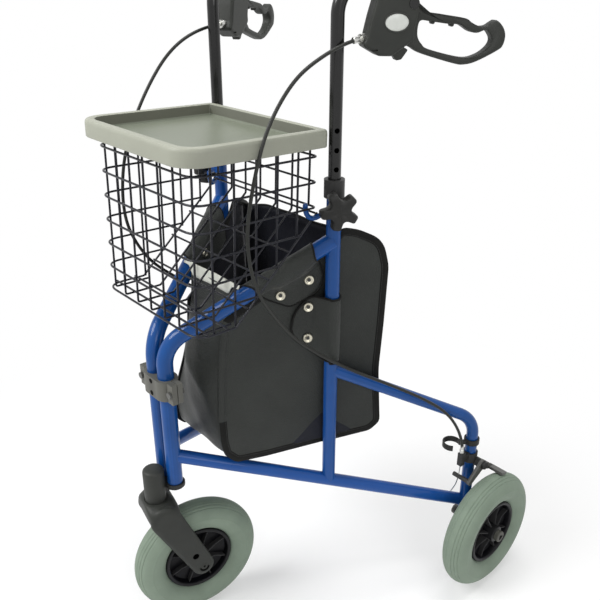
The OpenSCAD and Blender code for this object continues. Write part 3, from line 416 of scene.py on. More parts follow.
# finishes: name, dark and light colour, range of roughness, scale of the patches
MAT = {
    "paint": surface("paint_blue", (0.0035, 0.050, 0.20), (0.005, 0.064, 0.25), (0.24, 0.34), 18,
                     coat=0.4, coat_rough=0.05, specular=0.08, bumps=fine(900, 0.06),
                     wear=((0.02, 0.10, 0.42), 0.35)),
    "tube": surface("tube_black", (0.005, 0.005, 0.005), (0.009, 0.009, 0.009), (0.2, 0.3), 20, coat=0.3,
                    coat_rough=0.08, specular=0.25, bumps=fine(900, 0.05)),
    "black": surface("plastic_black", (0.012, 0.012, 0.011), (0.019, 0.019, 0.018), (0.4, 0.55), 25,
                     specular=0.25, bumps=fine(1600, 0.12), wear=((0.05, 0.05, 0.05), 0.5)),
    "hub": surface("hub_black", (0.003, 0.003, 0.004), (0.006, 0.006, 0.008), (0.3, 0.42), 25,
                   specular=0.14, bumps=fine(1600, 0.1), wear=((0.07, 0.07, 0.07), 0.5)),
    "graphite": surface("plastic_graphite", (0.021, 0.023, 0.020), (0.030, 0.032, 0.028), (0.42, 0.55),
                        25, specular=0.25, bumps=fine(1900, 0.16), wear=((0.06, 0.06, 0.057), 0.5)),
    "grey": surface("plastic_grey", (0.046, 0.045, 0.038), (0.066, 0.064, 0.055), (0.42, 0.55), 25,
                    specular=0.3, bumps=fine(1900, 0.14), wear=((0.16, 0.16, 0.14), 0.5)),
    # painted shade: near-black pieces laid into holes, grooves and recesses, where there is only shade
    "recess": surface("recess_black", (0.002, 0.002, 0.002), (0.004, 0.004, 0.004), (0.7, 0.8), 60,
                      specular=0.05, bumps=fine(1200, 0.1)),
    "brake": surface("brake_paint", (0.020, 0.020, 0.019), (0.032, 0.032, 0.030), (0.35, 0.5), 40,
                     specular=0.35, bumps=fine(1200, 0.1), wear=((0.16, 0.16, 0.15), 0.5)),
    "steel": surface("steel_plated", (0.52, 0.52, 0.50), (0.66, 0.66, 0.63), (0.22, 0.36), 60,
                     metallic=1.0, bumps=[("noise", 1500, 0.08, 0.0003)]),
    "stud": surface("stud_plated", (0.55, 0.52, 0.42), (0.68, 0.65, 0.54), (0.3, 0.42), 60, metallic=1.0,
                    bumps=[("noise", 1500, 0.08, 0.0003)]),
    "tyre": surface("tyre_grey", (0.170, 0.218, 0.168), (0.208, 0.264, 0.204), (0.55, 0.68), 22,
                    specular=0.3, bumps=[("noise", 1400, 0.16, 0.0005), ("noise", 160, 0.08, 0.001)]),
    "grip": surface("grip_rubber", (0.018, 0.018, 0.017), (0.028, 0.028, 0.026), (0.55, 0.7), 25,
                    specular=0.25, bumps=[("grain", 700, 0.3, 0.0005)]),
    "cable": surface("cable_sleeve", (0.015, 0.016, 0.014), (0.022, 0.023, 0.020), (0.3, 0.42), 25,
                     specular=0.25, bumps=fine(1200, 0.06)),
    "vinyl": surface("vinyl_black", (0.016, 0.018, 0.016), (0.025, 0.028, 0.025), (0.42, 0.56), 14,
                     sheen=0.1, specular=0.25,
                     bumps=[("noise", 26, 0.25, 0.004), ("grain", 420, 0.8, 0.0010)]),
    "binding": surface("binding_tape", (0.006, 0.006, 0.0055), (0.011, 0.011, 0.010), (0.6, 0.75), 60,
                       sheen=0.05, specular=0.12, bumps=[("DIAGONAL", 900, 0.3, 0.0004)]),
    "lining": surface("lining_nylon", (0.003, 0.004, 0.009), (0.007, 0.008, 0.016), (0.45, 0.6), 20,
                      sheen=0.08, specular=0.2,
                      bumps=[("noise", 40, 0.4, 0.005), ("Z", 1100, 0.2, 0.0004)]),
    "hem": surface("hem_tape", (0.58, 0.59, 0.52), (0.70, 0.71, 0.64), (0.6, 0.75), 60, sheen=0.1,
                   bumps=[("X", 900, 0.25, 0.0004)]),
    "thread": surface("thread", (0.03, 0.03, 0.03), (0.05, 0.05, 0.05), (0.6, 0.75), 300, specular=0.2,
                      bumps=[("noise", 3000, 0.3, 0.0003)]),
    "wire": surface("wire_coat", (0.005, 0.005, 0.009), (0.009, 0.010, 0.016), (0.22, 0.34), 30,
                    coat=0.15, specular=0.22, bumps=fine(1000, 0.05)),
    "tray": surface("tray_plastic", (0.27, 0.278, 0.228), (0.31, 0.318, 0.262), (0.4, 0.5), 12,
                    specular=0.3, bumps=fine(2200, 0.12)),
    # painted shade: the dish floor and inner walls are one moulding with the rim, given darker colours for
    # the shade in the tray's hollow
    "tray_dish_painted_shade": surface("tray_dish_painted_shade", (0.142, 0.157, 0.119), (0.165, 0.181, 0.138), (0.3, 0.42), 9,
                         specular=0.35, bumps=fine(2200, 0.12)),
    "tray_wall": surface("tray_wall", (0.080, 0.084, 0.062), (0.098, 0.102, 0.077), (0.4, 0.5), 12,
                         specular=0.3, bumps=fine(2200, 0.12)),
    "badge": surface("badge_pale", (0.55, 0.57, 0.53), (0.64, 0.66, 0.62), (0.25, 0.35), 80, coat=0.6,
                     bumps=[("noise", 900, 0.04, 0.0003)]),
}


# Building pieces

WELD, SOFTEN_SHARE, BEVEL_STEPS, BEVEL_ANGLE, SHARP = 1e-7, 0.5, 3, 32, 40


def add(name, data):
    """New object in the scene."""
    ob = bpy.data.objects.new(name, data)
    scene.collection.objects.link(ob)
    return ob


def finish(ob, material):
    """Gives an object one material."""
    ob.data.materials.clear()
    ob.data.materials.append(material)


def flatten(ob):
    """Replaces an object's mesh by its mesh with modifiers applied."""
    graph = bpy.context.evaluated_depsgraph_get()
    mesh = bpy.data.meshes.new_from_object(ob.evaluated_get(graph))
    ob.modifiers.clear()
    ob.data = mesh


def build(name, parts, place, material, body, replaces=(), voxel=0.0, soften=0, bevel=0.0,
          angle=SHARP, solid=True):
    """One visible piece out of local parts."""
    mesh = bpy.data.meshes.new(name)
    bm = bmesh.new()
    for verts, faces in parts:
        made = [bm.verts.new(place(v)) for v in verts]
        for f in faces:
            bm.faces.new([made[i] for i in f])
    bmesh.ops.remove_doubles(bm, verts=bm.verts, dist=WELD)
    if solid:
        bmesh.ops.recalc_face_normals(bm, faces=bm.faces)
    bm.to_mesh(mesh)
    bm.free()
    ob = add(name, mesh)
    if voxel:
        ob.modifiers.new("remesh", "REMESH").voxel_size = voxel * MM
        if soften:
            mod = ob.modifiers.new("soften", "SMOOTH")
            mod.factor, mod.iterations = SOFTEN_SHARE, soften
        flatten(ob)
    if bevel:
        mod = ob.modifiers.new("bevel", "BEVEL")
        mod.width, mod.segments, mod.angle_limit = bevel * MM, BEVEL_STEPS, math.radians(BEVEL_ANGLE)
        flatten(ob)
    finish(ob, MAT[material])
    ob.data.polygons.foreach_set("use_smooth", [True] * len(ob.data.polygons))
    ob.data.set_sharp_from_angle(angle=math.radians(angle))
    if body:
        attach(ob, body)
    if replaces:
        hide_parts(*replaces)
    return ob


def cut(ob, parts, place):
    """Takes closed parts out of a piece."""
    tool = build(ob.name + "_cut", parts, place, "black", None)
    mod = ob.modifiers.new("cut", "BOOLEAN")
    mod.operation, mod.object, mod.solver = "DIFFERENCE", tool, "EXACT"
    material = ob.data.materials[0]
    flatten(ob)
    bpy.data.objects.remove(tool)
    finish(ob, material)
    ob.data.polygons.foreach_set("material_index", [0] * len(ob.data.polygons))
    ob.data.set_sharp_from_angle(angle=math.radians(SHARP))


def thicken(ob, thick):
    """Gives a sheet its thickness, with its last material on the back and the rim."""
    mod = ob.modifiers.new("thick", "SOLIDIFY")
    mod.thickness, mod.offset = thick * MM, 0
    mod.material_offset = mod.material_offset_rim = len(ob.data.materials) - 1
    flatten(ob)


def dress(material, *nodes):
    """Gives CAD nodes a finish."""
    for name in nodes:
        finish(frame["nodes"][name], MAT[material])


def both(*names):
    """Names on both sides."""
    return [side + "_" + n for side, _ in SIDES for n in names]


# Frame nodes that keep their CAD shape

dress("paint", *both("front_tube", "upright", "lower_rail", "rear_tube"))
dress("tube", *both("handle_tube", "lever_pin"))
dress("brake", *both("axle", "brake_arm"), "clamp_bolts")
dress("steel", "castor_stem", "castor_bushes")
dress("black", *both("collar", "leg_plug", "brake_bracket"))
dress("grey", "clamp_front", "clamp_rear")


# Wheels

TYRE_R, TYRE_HALF, TYRE_WRAP, TYRE_STEPS = 23.0, 21.5, 152.0, 24
GROOVES, GROOVE_DEPTH, GROOVE_SOFT, GROOVE_REACH = (-40, -27, -14, 14, 27, 40), 0.75, 1.4, 4.5
GROOVE_STEPS = (-4, -2.6, -1.6, -0.8, 0, 0.8, 1.6, 2.6, 4)
WALL_LINE, WALL_STEPS, WALL_HEIGHT, WALL_SOFT = 82, (-4, -2, 0, 2, 4), 0.5, 2.2
HUB_RIM = [(3, 14.2), (3, 43.6), (4, 45), (11.5, 45.8), (13.4, 46.4), (14.6, 47.6), (14.9, 49.4),
           (14.4, 51), (13, 51.9), (10, 52)]
HUB_BOSS = [(3, 14.6), (20, 12.6), (21, 11.4), (21, 5.6)]
RIBS, RIB_FOOT, RIB_ROUND, RIB_SHARE = 8, 2, 0.5, 0.7
# ribs: radius, half width and height
RIB_ROWS = ((12.5, 1.5, 14), (30, 1.1, 10), (46, 1.3, 10.5))
AXLE_CAP = ((21.4, 7.4), (21.4, 8.9), (27.4, 8.9), (28.5, 8.2), (28.7, 5.8), (28.3, 2))
# painted shade: a near-black triangle standing for the shade in the axle cap's recess
AXLE_CAP_SHADE = ((27, 5.2), (29, 5.2))


def tyre_profile():
    """Round tyre with tread grooves and a moulded line on each wall."""
    near = [g + d for g in GROOVES for d in GROOVE_STEPS]
    lines = [face * (WALL_LINE + d) for face in FACES for d in WALL_STEPS]
    plain = [-TYRE_WRAP + i * TYRE_WRAP / TYRE_STEPS for i in range(2 * TYRE_STEPS + 1)]
    plain = [m for m in plain if min(abs(m - g) for g in GROOVES) > GROOVE_REACH]
    out = []
    for a in sorted(set(near + lines + plain)):
        depth = sum(GROOVE_DEPTH * math.exp(-((a - g) / GROOVE_SOFT) ** 2) for g in GROOVES)
        depth -= WALL_HEIGHT * math.exp(-((abs(a) - WALL_LINE) / WALL_SOFT) ** 2)
        turn = math.radians(a)
        out.append(((TYRE_HALF - depth) * math.sin(turn),
                    WHEEL_R - TYRE_R + (TYRE_R - depth) * math.cos(turn)))
    return out


def hub_parts():
    """Dished hub with a lipped rim, a boss, and ribs on both faces."""
    parts = [lathe(mirrored(HUB_RIM), 80, closed=True), lathe(mirrored(HUB_BOSS), 40, closed=True)]
    for i in range(RIBS):
        a = math.radians(360 / RIBS * (i + 0.5))
        c, s = math.cos(a), math.sin(a)
        for face in FACES:
            rings = []
            for r, w, h in RIB_ROWS:
                section = ((-w, RIB_FOOT), (-w * RIB_SHARE, h - RIB_ROUND), (0, h),
                           (w * RIB_SHARE, h - RIB_ROUND), (w, RIB_FOOT))
                rings.append([(face * x, r * c - out * s, r * s + out * c) for out, x in section])
            parts.append(loft(rings))
    return parts


def wheel(name, place, body, tyre_node, hub_node):
    """Tyre and hub of one wheel."""
    ring = lathe(tyre_profile(), 120, closed=True)
    build(name + "_tyre_form", [ring], place, "tyre", body, [tyre_node], angle=60)
    build(name + "_hub_form", hub_parts(), place, "hub", body, [hub_node])


wheel("front", front_wheel_place, "front_wheel", "front_tyre", "front_wheel_hub")
for side, sign in SIDES:
    place = rear_wheel_place(sign)
    wheel(side, place, side + "_wheel", side + "_tyre", side + "_wheel_hub")
    build(side + "_axle_cap", [lathe(AXLE_CAP, 40)], place, "grey", side + "_frame", angle=30)
    # painted shade in the axle cap's recess
    build(side + "_axle_cap_shade", [lathe(AXLE_CAP_SHADE, 3)], place, "recess", side + "_frame")


# Castor fork and front hub

def link(a, ra, b, rb, steps=20):
    """Outline round two discs."""
    a, b = Vector(a), Vector(b)
    d = (b - a).length
    lean = math.asin((ra - rb) / d)
    turn = math.atan2(b.y - a.y, b.x - a.x)
    out = []
    for c, r, lo, hi in ((a, ra, turn + math.pi / 2 - lean, turn + 3 * math.pi / 2 + lean),
                         (b, rb, turn - math.pi / 2 + lean, turn + math.pi / 2 - lean)):
        for k in range(steps + 1):
            t = lo + (hi - lo) * k / steps
            out.append((c.x + r * math.cos(t), c.y + r * math.sin(t)))
    return out


FORK_IN, FORK_OUT, FORK_VOXEL, FORK_SOFTEN = 26.0, 33.0, 1.1, 26
TRAIL = 53.0
# crown: height, half across, half back, middle and squareness
FORK_CROWN = ((190, 31, 20, 6, 0.36), (194, 32.6, 22, 5, 0.34), (202, 33, 23, 3.8, 0.34),
              (209, 32.8, 23, 3.4, 0.36), (214, 31.4, 22.6, 3, 0.42), (218, 28.2, 21.4, 2, 0.55),
              (220.6, 24, 20, 0.8, 0.75), (222, 20, 19, 0, 1))
FORK_LEG = ((3.4, 200), 22.4, 17.3)
FORK_LEG_ROWS = ((FORK_IN, 0.6), (FORK_IN + 0.8, 0), (28, 0), (30.2, 1), (31.7, 2.8), (32.6, 5),
                 (FORK_OUT, 8))
FORK_THROUGH, FORK_SOCKET = 40, ((216.2, 15.9), (240, 15.9))
SPARE_HOLE = (41.3, 119.6, 5.0)
# near-black ring over the spare hole's wall: painted shade
HOLE_SHADE_HALF, HOLE_SHADE_IN, HOLE_SHADE_OUT = 32.6, 0.5, 0.3
FRONT_AXLE = [(32.4, 5.8), (33.2, 5.4), (33.8, 3.5)]
# near-black arcs on the lower halves of the axle ends' grooves, and dots in their sockets: painted shade
SHADE_ARC_X, SHADE_ARC_R, SHADE_ARC_WIRE, SHADE_ARC_FROM, SHADE_ARC_STEP, SHADE_ARC_COUNT = 33.2, 6.4, 1.5, 195, 13, 13
SHADE_DOT, SHADE_DOT_R, SHADE_DOT_UP = (33.2, 34.0), 1.9, 1


def oval(z, across, back, middle, power, count=64):
    """Squarish ring at a height."""
    out = []
    for c, s in circle(count):
        x = across * math.copysign(abs(c) ** power, c)
        out.append((x, middle + back * math.copysign(abs(s) ** power, s), z))
    return out


def castor_fork():
    """Fork with its spare hole, socket and axle ends, and near-black painted shade in the hole and the axle
    ends' grooves.
    """
    outline = link(FORK_LEG[0], FORK_LEG[1], (TRAIL, WHEEL_R), FORK_LEG[2])
    parts = [loft([oval(*row) for row in FORK_CROWN])]
    for face in FACES:
        rings = [[(face * x, *p) for p in inset_loop(outline, inset)] for x, inset in FORK_LEG_ROWS]
        parts.append(loft(rings))
    fork = build("castor_fork_form", parts, castor_place, "graphite", "castor",
                 ["castor_fork"], voxel=FORK_VOXEL, soften=FORK_SOFTEN)
    back, up, hole_r = SPARE_HOLE
    hole = lathe(mirrored([(FORK_THROUGH, hole_r)]), 32)
    cut(fork, [moved(hole, (0, back, up))], castor_place)
    cut(fork, [lathe_z(FORK_SOCKET)], castor_place)
    # painted shade: a near-black ring lining the spare hole's wall
    lining = mirrored([(HOLE_SHADE_HALF, hole_r + HOLE_SHADE_OUT), (HOLE_SHADE_HALF, hole_r - HOLE_SHADE_IN)])
    lining = moved(lathe(lining, 32, True), (0, back, up))
    axle = moved(lathe(mirrored(FRONT_AXLE), 32), (0, TRAIL, WHEEL_R))
    build("front_axle_form", [axle], castor_place, "graphite", "castor", ["front_axle"])
    build("fork_hole_shade", [lining], castor_place, "recess", "castor")
    # painted shade: near-black arcs where the axle ends' grooves are shaded, and dots in their sockets
    painted_shades = []
    turns = [math.radians(SHADE_ARC_FROM + SHADE_ARC_STEP * k) for k in range(SHADE_ARC_COUNT)]
    for face in FACES:
        arc = [(face * SHADE_ARC_X, TRAIL + SHADE_ARC_R * math.cos(a), WHEEL_R + SHADE_ARC_R * math.sin(a)) for a in turns]
        socket = lathe([(face * x, SHADE_DOT_R) for x in SHADE_DOT], 6)
        painted_shades.append(sweep(arc, SHADE_ARC_WIRE, 8))
        painted_shades.append(moved(socket, (0, TRAIL, WHEEL_R + SHADE_DOT_UP)))
    build("front_axle_groove_shade", painted_shades, castor_place, "recess", "castor")


LEAD = PIVOT.y - CASTOR_Y
HOUSING = ((217, 11.2), (217, 14.3), (217.8, 15), (267.5, 15), (270.4, 14.3), (272.2, 12.6), (272.8, 10))
PLATE_R, PLATE_COUNT, PLATE_TURN = 13.8, 56, 4
PLATE_ROWS = ((239, 0.9), (239.9, 0), (245, 0), (245.9, 0.9))
WEB_HALF, WEB_END, WEB_Z = 8, 6, (230, 245.5)
# the clamp's front holes: heights, front face, radius and depth of the near-black discs painted in as their
# shade
CLAMP_HOLES, CLAMP_FRONT, CLAMP_HOLE_R, CLAMP_HOLE_DEEP = (392.0, 410.0), -15.7, 3.5, 3


def front_hub():
    """Castor housing, the plate under both front tubes, and near-black discs in the clamp's holes as
    painted shade.
    """
    housing = lathe_z(HOUSING, (0, -LEAD))
    plate = []
    for z, inset in PLATE_ROWS:
        ring = []
        for c, s in circle(PLATE_COUNT):
            x = math.copysign(PIVOT.x, c) * min(1, abs(c) * PLATE_TURN)
            ring.append((x + (PLATE_R - inset) * c, (PLATE_R - inset) * s, z))
        plate.append(ring)
    web = box((-WEB_HALF, -LEAD + WEB_END, WEB_Z[0]), (WEB_HALF, -WEB_END, WEB_Z[1]))
    build("front_hub_form", [housing], row_place, "graphite", "front_hub",
          ["hub_moulding"])
    build("front_hub_plate", [loft(plate), web], row_place, "black", "front_hub")
    # painted shade: near-black discs in the clamp's front holes
    hole_shades = []
    for z in CLAMP_HOLES:
        hole = lathe([(x, CLAMP_HOLE_R) for x in (CLAMP_FRONT, CLAMP_FRONT + CLAMP_HOLE_DEEP)], 28)
        hole_shades.append(([Vector((v.y, v.x, v.z + z)) for v in hole[0]], hole[1]))
    build("clamp_hole_shade", hole_shades, row_place, "recess", "front_hub")


castor_fork()
front_hub()


# Handles, with the brake cables' routes across, back and up along each side frame

ROUTES = {
    "left": [(0, 257.8, 831), (13, 230, 828), (24, 194, 811), (37, 170, 797), (47, 152, 778),
             (56, 134, 752), (64, 119, 716), (73, 103, 650), (74, 102, 612), (70, 108, 572),
             (62, 120, 540), (43, 146, 497), (27, 175, 456), (13, 241, 404), (12, 293, 376),
             (14, 371, 332), (15, 405, 302), (15, 424, 268), (12.5, 432, 240), (12, 432, 228.5)],
    "right": [(0, 257.8, 831), (13, 228, 828), (27, 190, 818), (41, 162, 797), (51, 142, 772),
              (61, 122, 742), (72, 102, 700), (78, 90, 660), (80, 85, 620), (79, 86, 582),
              (70, 96, 548), (58, 114, 514), (43, 146, 486), (15, 229, 410), (12, 293, 376),
              (14, 371, 332), (15, 405, 302), (15, 424, 268), (12.5, 432, 240), (12, 432, 228.5)],
}

LEVER_HALF, LEVER_GAP = 7.0, 0.4
BODY_VOXEL, BODY_SOFTEN = 0.9, 3
BODY = [(266, 892), (266.4, 872), (261.6, 855.4), (258, 840), (256.6, 833.5), (252.2, 825.5),
        (253.4, 821.8), (271.6, 811.6), (287, 811), (296, 817), (306, 823.5), (314, 829), (312.5, 838),
        (318, 860), (316, 866), (304, 878), (302, 892)]
BODY_ROUND = [3, 20, 40, 20, 6, 3, 4, 6, 6, 10, 10, 5, 20, 8, 5, 12, 3]
BODY_ROWS = ((-13, 2.8), (-12.4, 1.2), (-11, 0.3), (-9, 0), (9, 0), (11, 0.3), (12.4, 1.2), (13, 2.8))
TAB = [(286, 814), (292, 809.7), (294.6, 805.6), (301, 806.5), (309, 817.2), (303, 820.5), (297, 822)]
TAB_HALF, TAB_ROUND, TAB_BEVEL = 5, 1.5, 0.7
GRIP_BORE = ((30, 8.0), (120, 8.0))
# lever's slot and the housing's slits: runs and heights
SLOT_RUN, SLOT_Z = (297.7, 330), (800, 877.6)
SLIT_X, SLIT_HALF, SLIT_RUN, SLIT_Z = 12.6, 2.2, (262, 269), (817.6, 819.4)
LEVER_CLAMP = ((46.5, 8.2), (46.5, 12), (47.5, 13), (75.8, 13), (76.8, 12), (76.8, 8.2))
BADGE = (290.5, 848, 14.0, 9.4)
BADGE_ROWS = ((12.2, 1), (13.3, 1), (13.8, 0.94), (14.0, 0.8), (14.0, 0.1))
BADGE_RIM_X, BADGE_RIM_OUT, BADGE_RIM_R = 13.2, 0.9, 1.0
LEVER_OUT = [(302, 828), (313, 819), (327, 812), (366.4, 800.4), (380.6, 798.5), (397, 802), (422.6, 813.7),
             (429, 819.8), (430.6, 830.8), (426.3, 840.6), (417.7, 847.6), (411.7, 845.7), (405, 842),
             (395.5, 841.7), (385.3, 846.2), (378, 850.4), (350.5, 855), (324, 860), (316, 873), (304, 874),
             (301, 862)]
LEVER_IN = [(319.4, 832), (324.8, 823.5), (334.7, 817.2), (377, 806.9), (396.3, 809.5), (409.4, 817.8),
            (413.3, 826.3), (407.3, 835.5), (403, 836.8), (393.6, 834), (383.7, 836), (370.6, 843.4),
            (356.8, 844.5), (335, 847.6), (322.9, 849), (319.3, 843.8)]
LEVER_ROWS = ((-7, 2.6), (-6.4, 1.1), (-5, 0.2), (-3.5, 0), (3.5, 0), (5, 0.2), (6.4, 1.1), (7, 2.6))
LEVER_IN_SHARE, PIN_HOLE = 0.5, [(9, 3.05)]
NUBS, NUB = ((338, 846.8), (362, 843.6)), [(3.4, 2.3), (4.2, 1.8), (4.6, 0.8)]
FERRULE = ((-19, 3.0), (-18.4, 3.8), (-11, 3.8), (-10.6, 2.9), (-8.4, 2.9), (-8, 5.6), (-3.6, 5.6),
           (-3, 4.6), (1.6, 4.4))
GRIP_START, GRIP_RIBS, GRIP_RIB_START, GRIP_PITCH = 78.8, 31, 8, 2.6
GRIP_R, GRIP_RIB, GRIP_VALLEY = 13.4, 0.45, -0.25
GRIP_COLLAR = [(0, 8.3), (0, 14.6), (1, 15.5), (5, 15.5), (6.5, 14.6)]
GRIP_END = [(90, 14.4), (92, 15.2), (98, 15.4), (103, 14.6), (105.4, 12.4), (106, 9), (106, 3)]
KNOB_Z, KNOB_TURN, KNOB_ARMS = 634.0, math.radians(42.6), 5
KNOB_TIP, KNOB_HALF, KNOB_VALLEY, KNOB_TIP_ROUND, KNOB_VALLEY_ROUND = 24.4, 5.2, 11.8, 3.4, 7.0
KNOB_ROWS = ((17.2, 0.84), (17.8, 0.94), (19.2, 1), (28.5, 1), (31, 0.965), (32.4, 0.9), (33, 0.78),
             (33.1, 0.5), (32.4, 0.4), (32.4, 0.05))
KNOB_SHANK = ((8.4, 3.9), (18, 3.9))
HOOK = [(216, 629), (208, 623), (200.5, 619.4), (194, 619.8), (189.8, 624.4), (188, 631), (187.6, 639)]
HOOK_R, HOOK_TIP = 3.3, [2.9, 1.6]


def oval_ring(x, centre, half_back, half_up, count=48):
    """Oval facing across."""
    return [(x, centre[0] + half_back * c, centre[1] + half_up * s) for c, s in circle(count)]


def lever_body(side, sign):
    """Lever housing with its tab, clamp, badge and the cable's ferrule."""
    place, along = side_place(sign), grip_place(sign)
    handle = side + "_handle"
    outline = round_loop(BODY, BODY_ROUND, 160)
    shell = loft([[(x, s, z) for s, z in inset_loop(outline, inset)] for x, inset in BODY_ROWS])
    body = build(side + "_lever_body_form", [shell], place, "graphite", handle,
                 [side + "_lever_body"], voxel=BODY_VOXEL, soften=BODY_SOFTEN)
    tab = slab(round_loop(TAB, TAB_ROUND, 40), -TAB_HALF, TAB_HALF)
    build(side + "_lever_tab", [tab], place, "graphite", handle, bevel=TAB_BEVEL)
    cut(body, [lathe(GRIP_BORE, 40)], along)
    half = LEVER_HALF + LEVER_GAP
    cut(body, [box((-half, SLOT_RUN[0], SLOT_Z[0]), (half, SLOT_RUN[1], SLOT_Z[1]))], place)
    slits = [box((face * SLIT_X - SLIT_HALF, SLIT_RUN[0], SLIT_Z[0]),
                 (face * SLIT_X + SLIT_HALF, SLIT_RUN[1], SLIT_Z[1])) for face in FACES]
    cut(body, slits, place)
    ring = lathe(LEVER_CLAMP, 48, closed=True)
    build(side + "_lever_clamp", [ring], along, "graphite", handle)
    *centre, half_back, half_up = BADGE
    badge = loft([oval_ring(x, centre, half_back * k, half_up * k) for x, k in BADGE_ROWS])
    build(side + "_badge", [badge], place, "badge", handle, angle=30)
    rim = oval_ring(BADGE_RIM_X, centre, half_back + BADGE_RIM_OUT, half_up + BADGE_RIM_OUT)
    rim = sweep(rim, BADGE_RIM_R, 8, True)
    build(side + "_badge_rim", [rim], place, "graphite", handle)
    start, leave = Vector(ROUTES[side][0]), Vector(ROUTES[side][0]) - Vector(ROUTES[side][1])
    line = [start + leave.normalized() * a for a, _ in FERRULE]
    ferrule = sweep(line, [r for _, r in FERRULE], 24)
    build(side + "_cable_ferrule", [ferrule], place, "steel", handle)


def lever(side, sign):
    """Loop lever with two nubs in its finger hole."""
    place = side_place(sign)
    outer, inner = curve_loop(LEVER_OUT, 180), curve_loop(LEVER_IN, 180)
    rings = [[(x, *p) for p in inset_loop(outer, inset)] for x, inset in LEVER_ROWS]
    rings += [[(x, *p) for p in inset_loop(inner, -inset * LEVER_IN_SHARE)]
              for x, inset in LEVER_ROWS[::-1]]
    body = build(side + "_lever_form", [loft(rings, closed=True)], place, "graphite", side + "_lever",
                 [side + "_lever"])
    cut(body, [moved(lathe(mirrored(PIN_HOLE), 32), (0, *LEVER_PIN))], place)
    nubs = [moved(lathe(mirrored(NUB), 20), (0, *p)) for p in NUBS]
    build(side + "_lever_nubs", nubs, place, "graphite", side + "_lever")


def grip(side, sign):
    """Ribbed grip with a collar and a round end."""
    profile = list(GRIP_COLLAR)
    for i in range(GRIP_RIBS):
        swell = GRIP_R + math.sin(math.pi * i / GRIP_RIBS)
        profile.append((GRIP_RIB_START + i * GRIP_PITCH, swell + (GRIP_RIB if i % 2 else GRIP_VALLEY)))
    profile = lathe([(GRIP_START + a, r) for a, r in profile + GRIP_END], 48)
    build(side + "_grip_form", [profile], grip_place(sign), "grip", side + "_handle",
          [side + "_grip"], angle=50)


def knob(side, sign):
    """Star knob with blunt arms."""
    corners, rounds = [], []
    for i in range(KNOB_ARMS):
        a = KNOB_TURN + 2 * math.pi * i / KNOB_ARMS
        c, s = math.cos(a), math.sin(a)
        for out in (-KNOB_HALF, KNOB_HALF):
            corners.append((KNOB_TIP * c - out * s, KNOB_TIP * s + out * c))
            rounds.append(KNOB_TIP_ROUND)
        b = a + math.pi / KNOB_ARMS
        corners.append((KNOB_VALLEY * math.cos(b), KNOB_VALLEY * math.sin(b)))
        rounds.append(KNOB_VALLEY_ROUND)
    star = round_loop(corners, rounds, 150)
    body = loft([[(x, UPRIGHT_RUN + k * s, KNOB_Z + k * z) for s, z in star] for x, k in KNOB_ROWS])
    shank = moved(lathe(KNOB_SHANK, 24), (0, UPRIGHT_RUN, KNOB_Z))
    build(side + "_knob_form", [body, shank], side_place(sign), "black", side + "_knob",
          [side + "_knob"], angle=55)


def basket_hook(side, sign):
    """Bent rod with a rounded tip."""
    line = smooth([(0, s, z) for s, z in HOOK], 6)
    radii = [HOOK_R] * (len(line) - len(HOOK_TIP)) + HOOK_TIP
    build(side + "_basket_hook_form", [sweep(line, radii, 14)], side_place(sign), "paint",
          side + "_frame", [side + "_basket_hook"], angle=60)


for side, sign in SIDES:
    lever_body(side, sign)
    lever(side, sign)
    grip(side, sign)
    knob(side, sign)
    basket_hook(side, sign)


CLIP_MIDDLE, CLIP_R, CLIP_WALL, CLIP_Z = (1.5, 419.0), 13.0, 2.0, (235.5, 244.5)
CLIP_ARC, CLIP_STEPS, CLIP_BEVEL = (85, 345), 40, 0.4
CLIP_BAND, CLIP_ARM, CLIP_ARM_RUN, CLIP_ARM_IN = (9.2, 11.8), 4.5, (431, 443), 1


def clip_ring():
    """Open ring held off the left leg by a short arm."""
    low, high = CLIP_Z
    near, far = CLIP_R - CLIP_WALL / 2, CLIP_R + CLIP_WALL / 2
    rings = []
    for k in range(CLIP_STEPS + 1):
        a = math.radians(CLIP_ARC[0] + (CLIP_ARC[1] - CLIP_ARC[0]) * k / CLIP_STEPS)
        rings.append([(CLIP_MIDDLE[0] + r * math.cos(a), CLIP_MIDDLE[1] + r * math.sin(a), z)
                      for r, z in ((near, low), (far, low), (far, high), (near, high))])
    inner, outer = CLIP_BAND
    collar = lathe([(low, inner), (low, outer), (high, outer), (high, inner)], 48, closed=True)
    collar = [Vector((v.z, FRAME_RUN + v.y, v.x)) for v in collar[0]], collar[1]
    arm = box((0, CLIP_ARM_RUN[0], low + CLIP_ARM_IN), (CLIP_ARM, CLIP_ARM_RUN[1], high - CLIP_ARM_IN))
    build("clip_ring_form", [loft(rings), collar, arm], side_place(1), "black", "left_frame",
          ["stick_clip"], bevel=CLIP_BEVEL)


clip_ring()


# Brake cables

CABLE_R, CABLE_EASE = 2.2, 20
# places on a cable's route near the frame and near the handle; they are worked out but not used further
CABLE_BLEND = ((60, 110, 560), (20, 205, 815))
CABLE_END = (12, 432)
CABLE_STOP = ((228.2, 2.2), (228.2, 3.6), (234, 3.6), (234.4, 3.0), (241, 3.0), (241.4, 2.6))
INNER_WIRE = ((12, 432, 207), (11.5, 432, 196), (12, 431, 184), (9, 429, 166), (4, 425, 150))
INNER_WIRE_R = 0.8


def relaxed(line):
    """A line eased towards its neighbours, ends kept."""
    for _ in range(CABLE_EASE):
        middle = [(a + b * 2 + c) / 4 for a, b, c in zip(line, line[1:], line[2:])]
        line = [line[0]] + middle + [line[-1]]
    return line


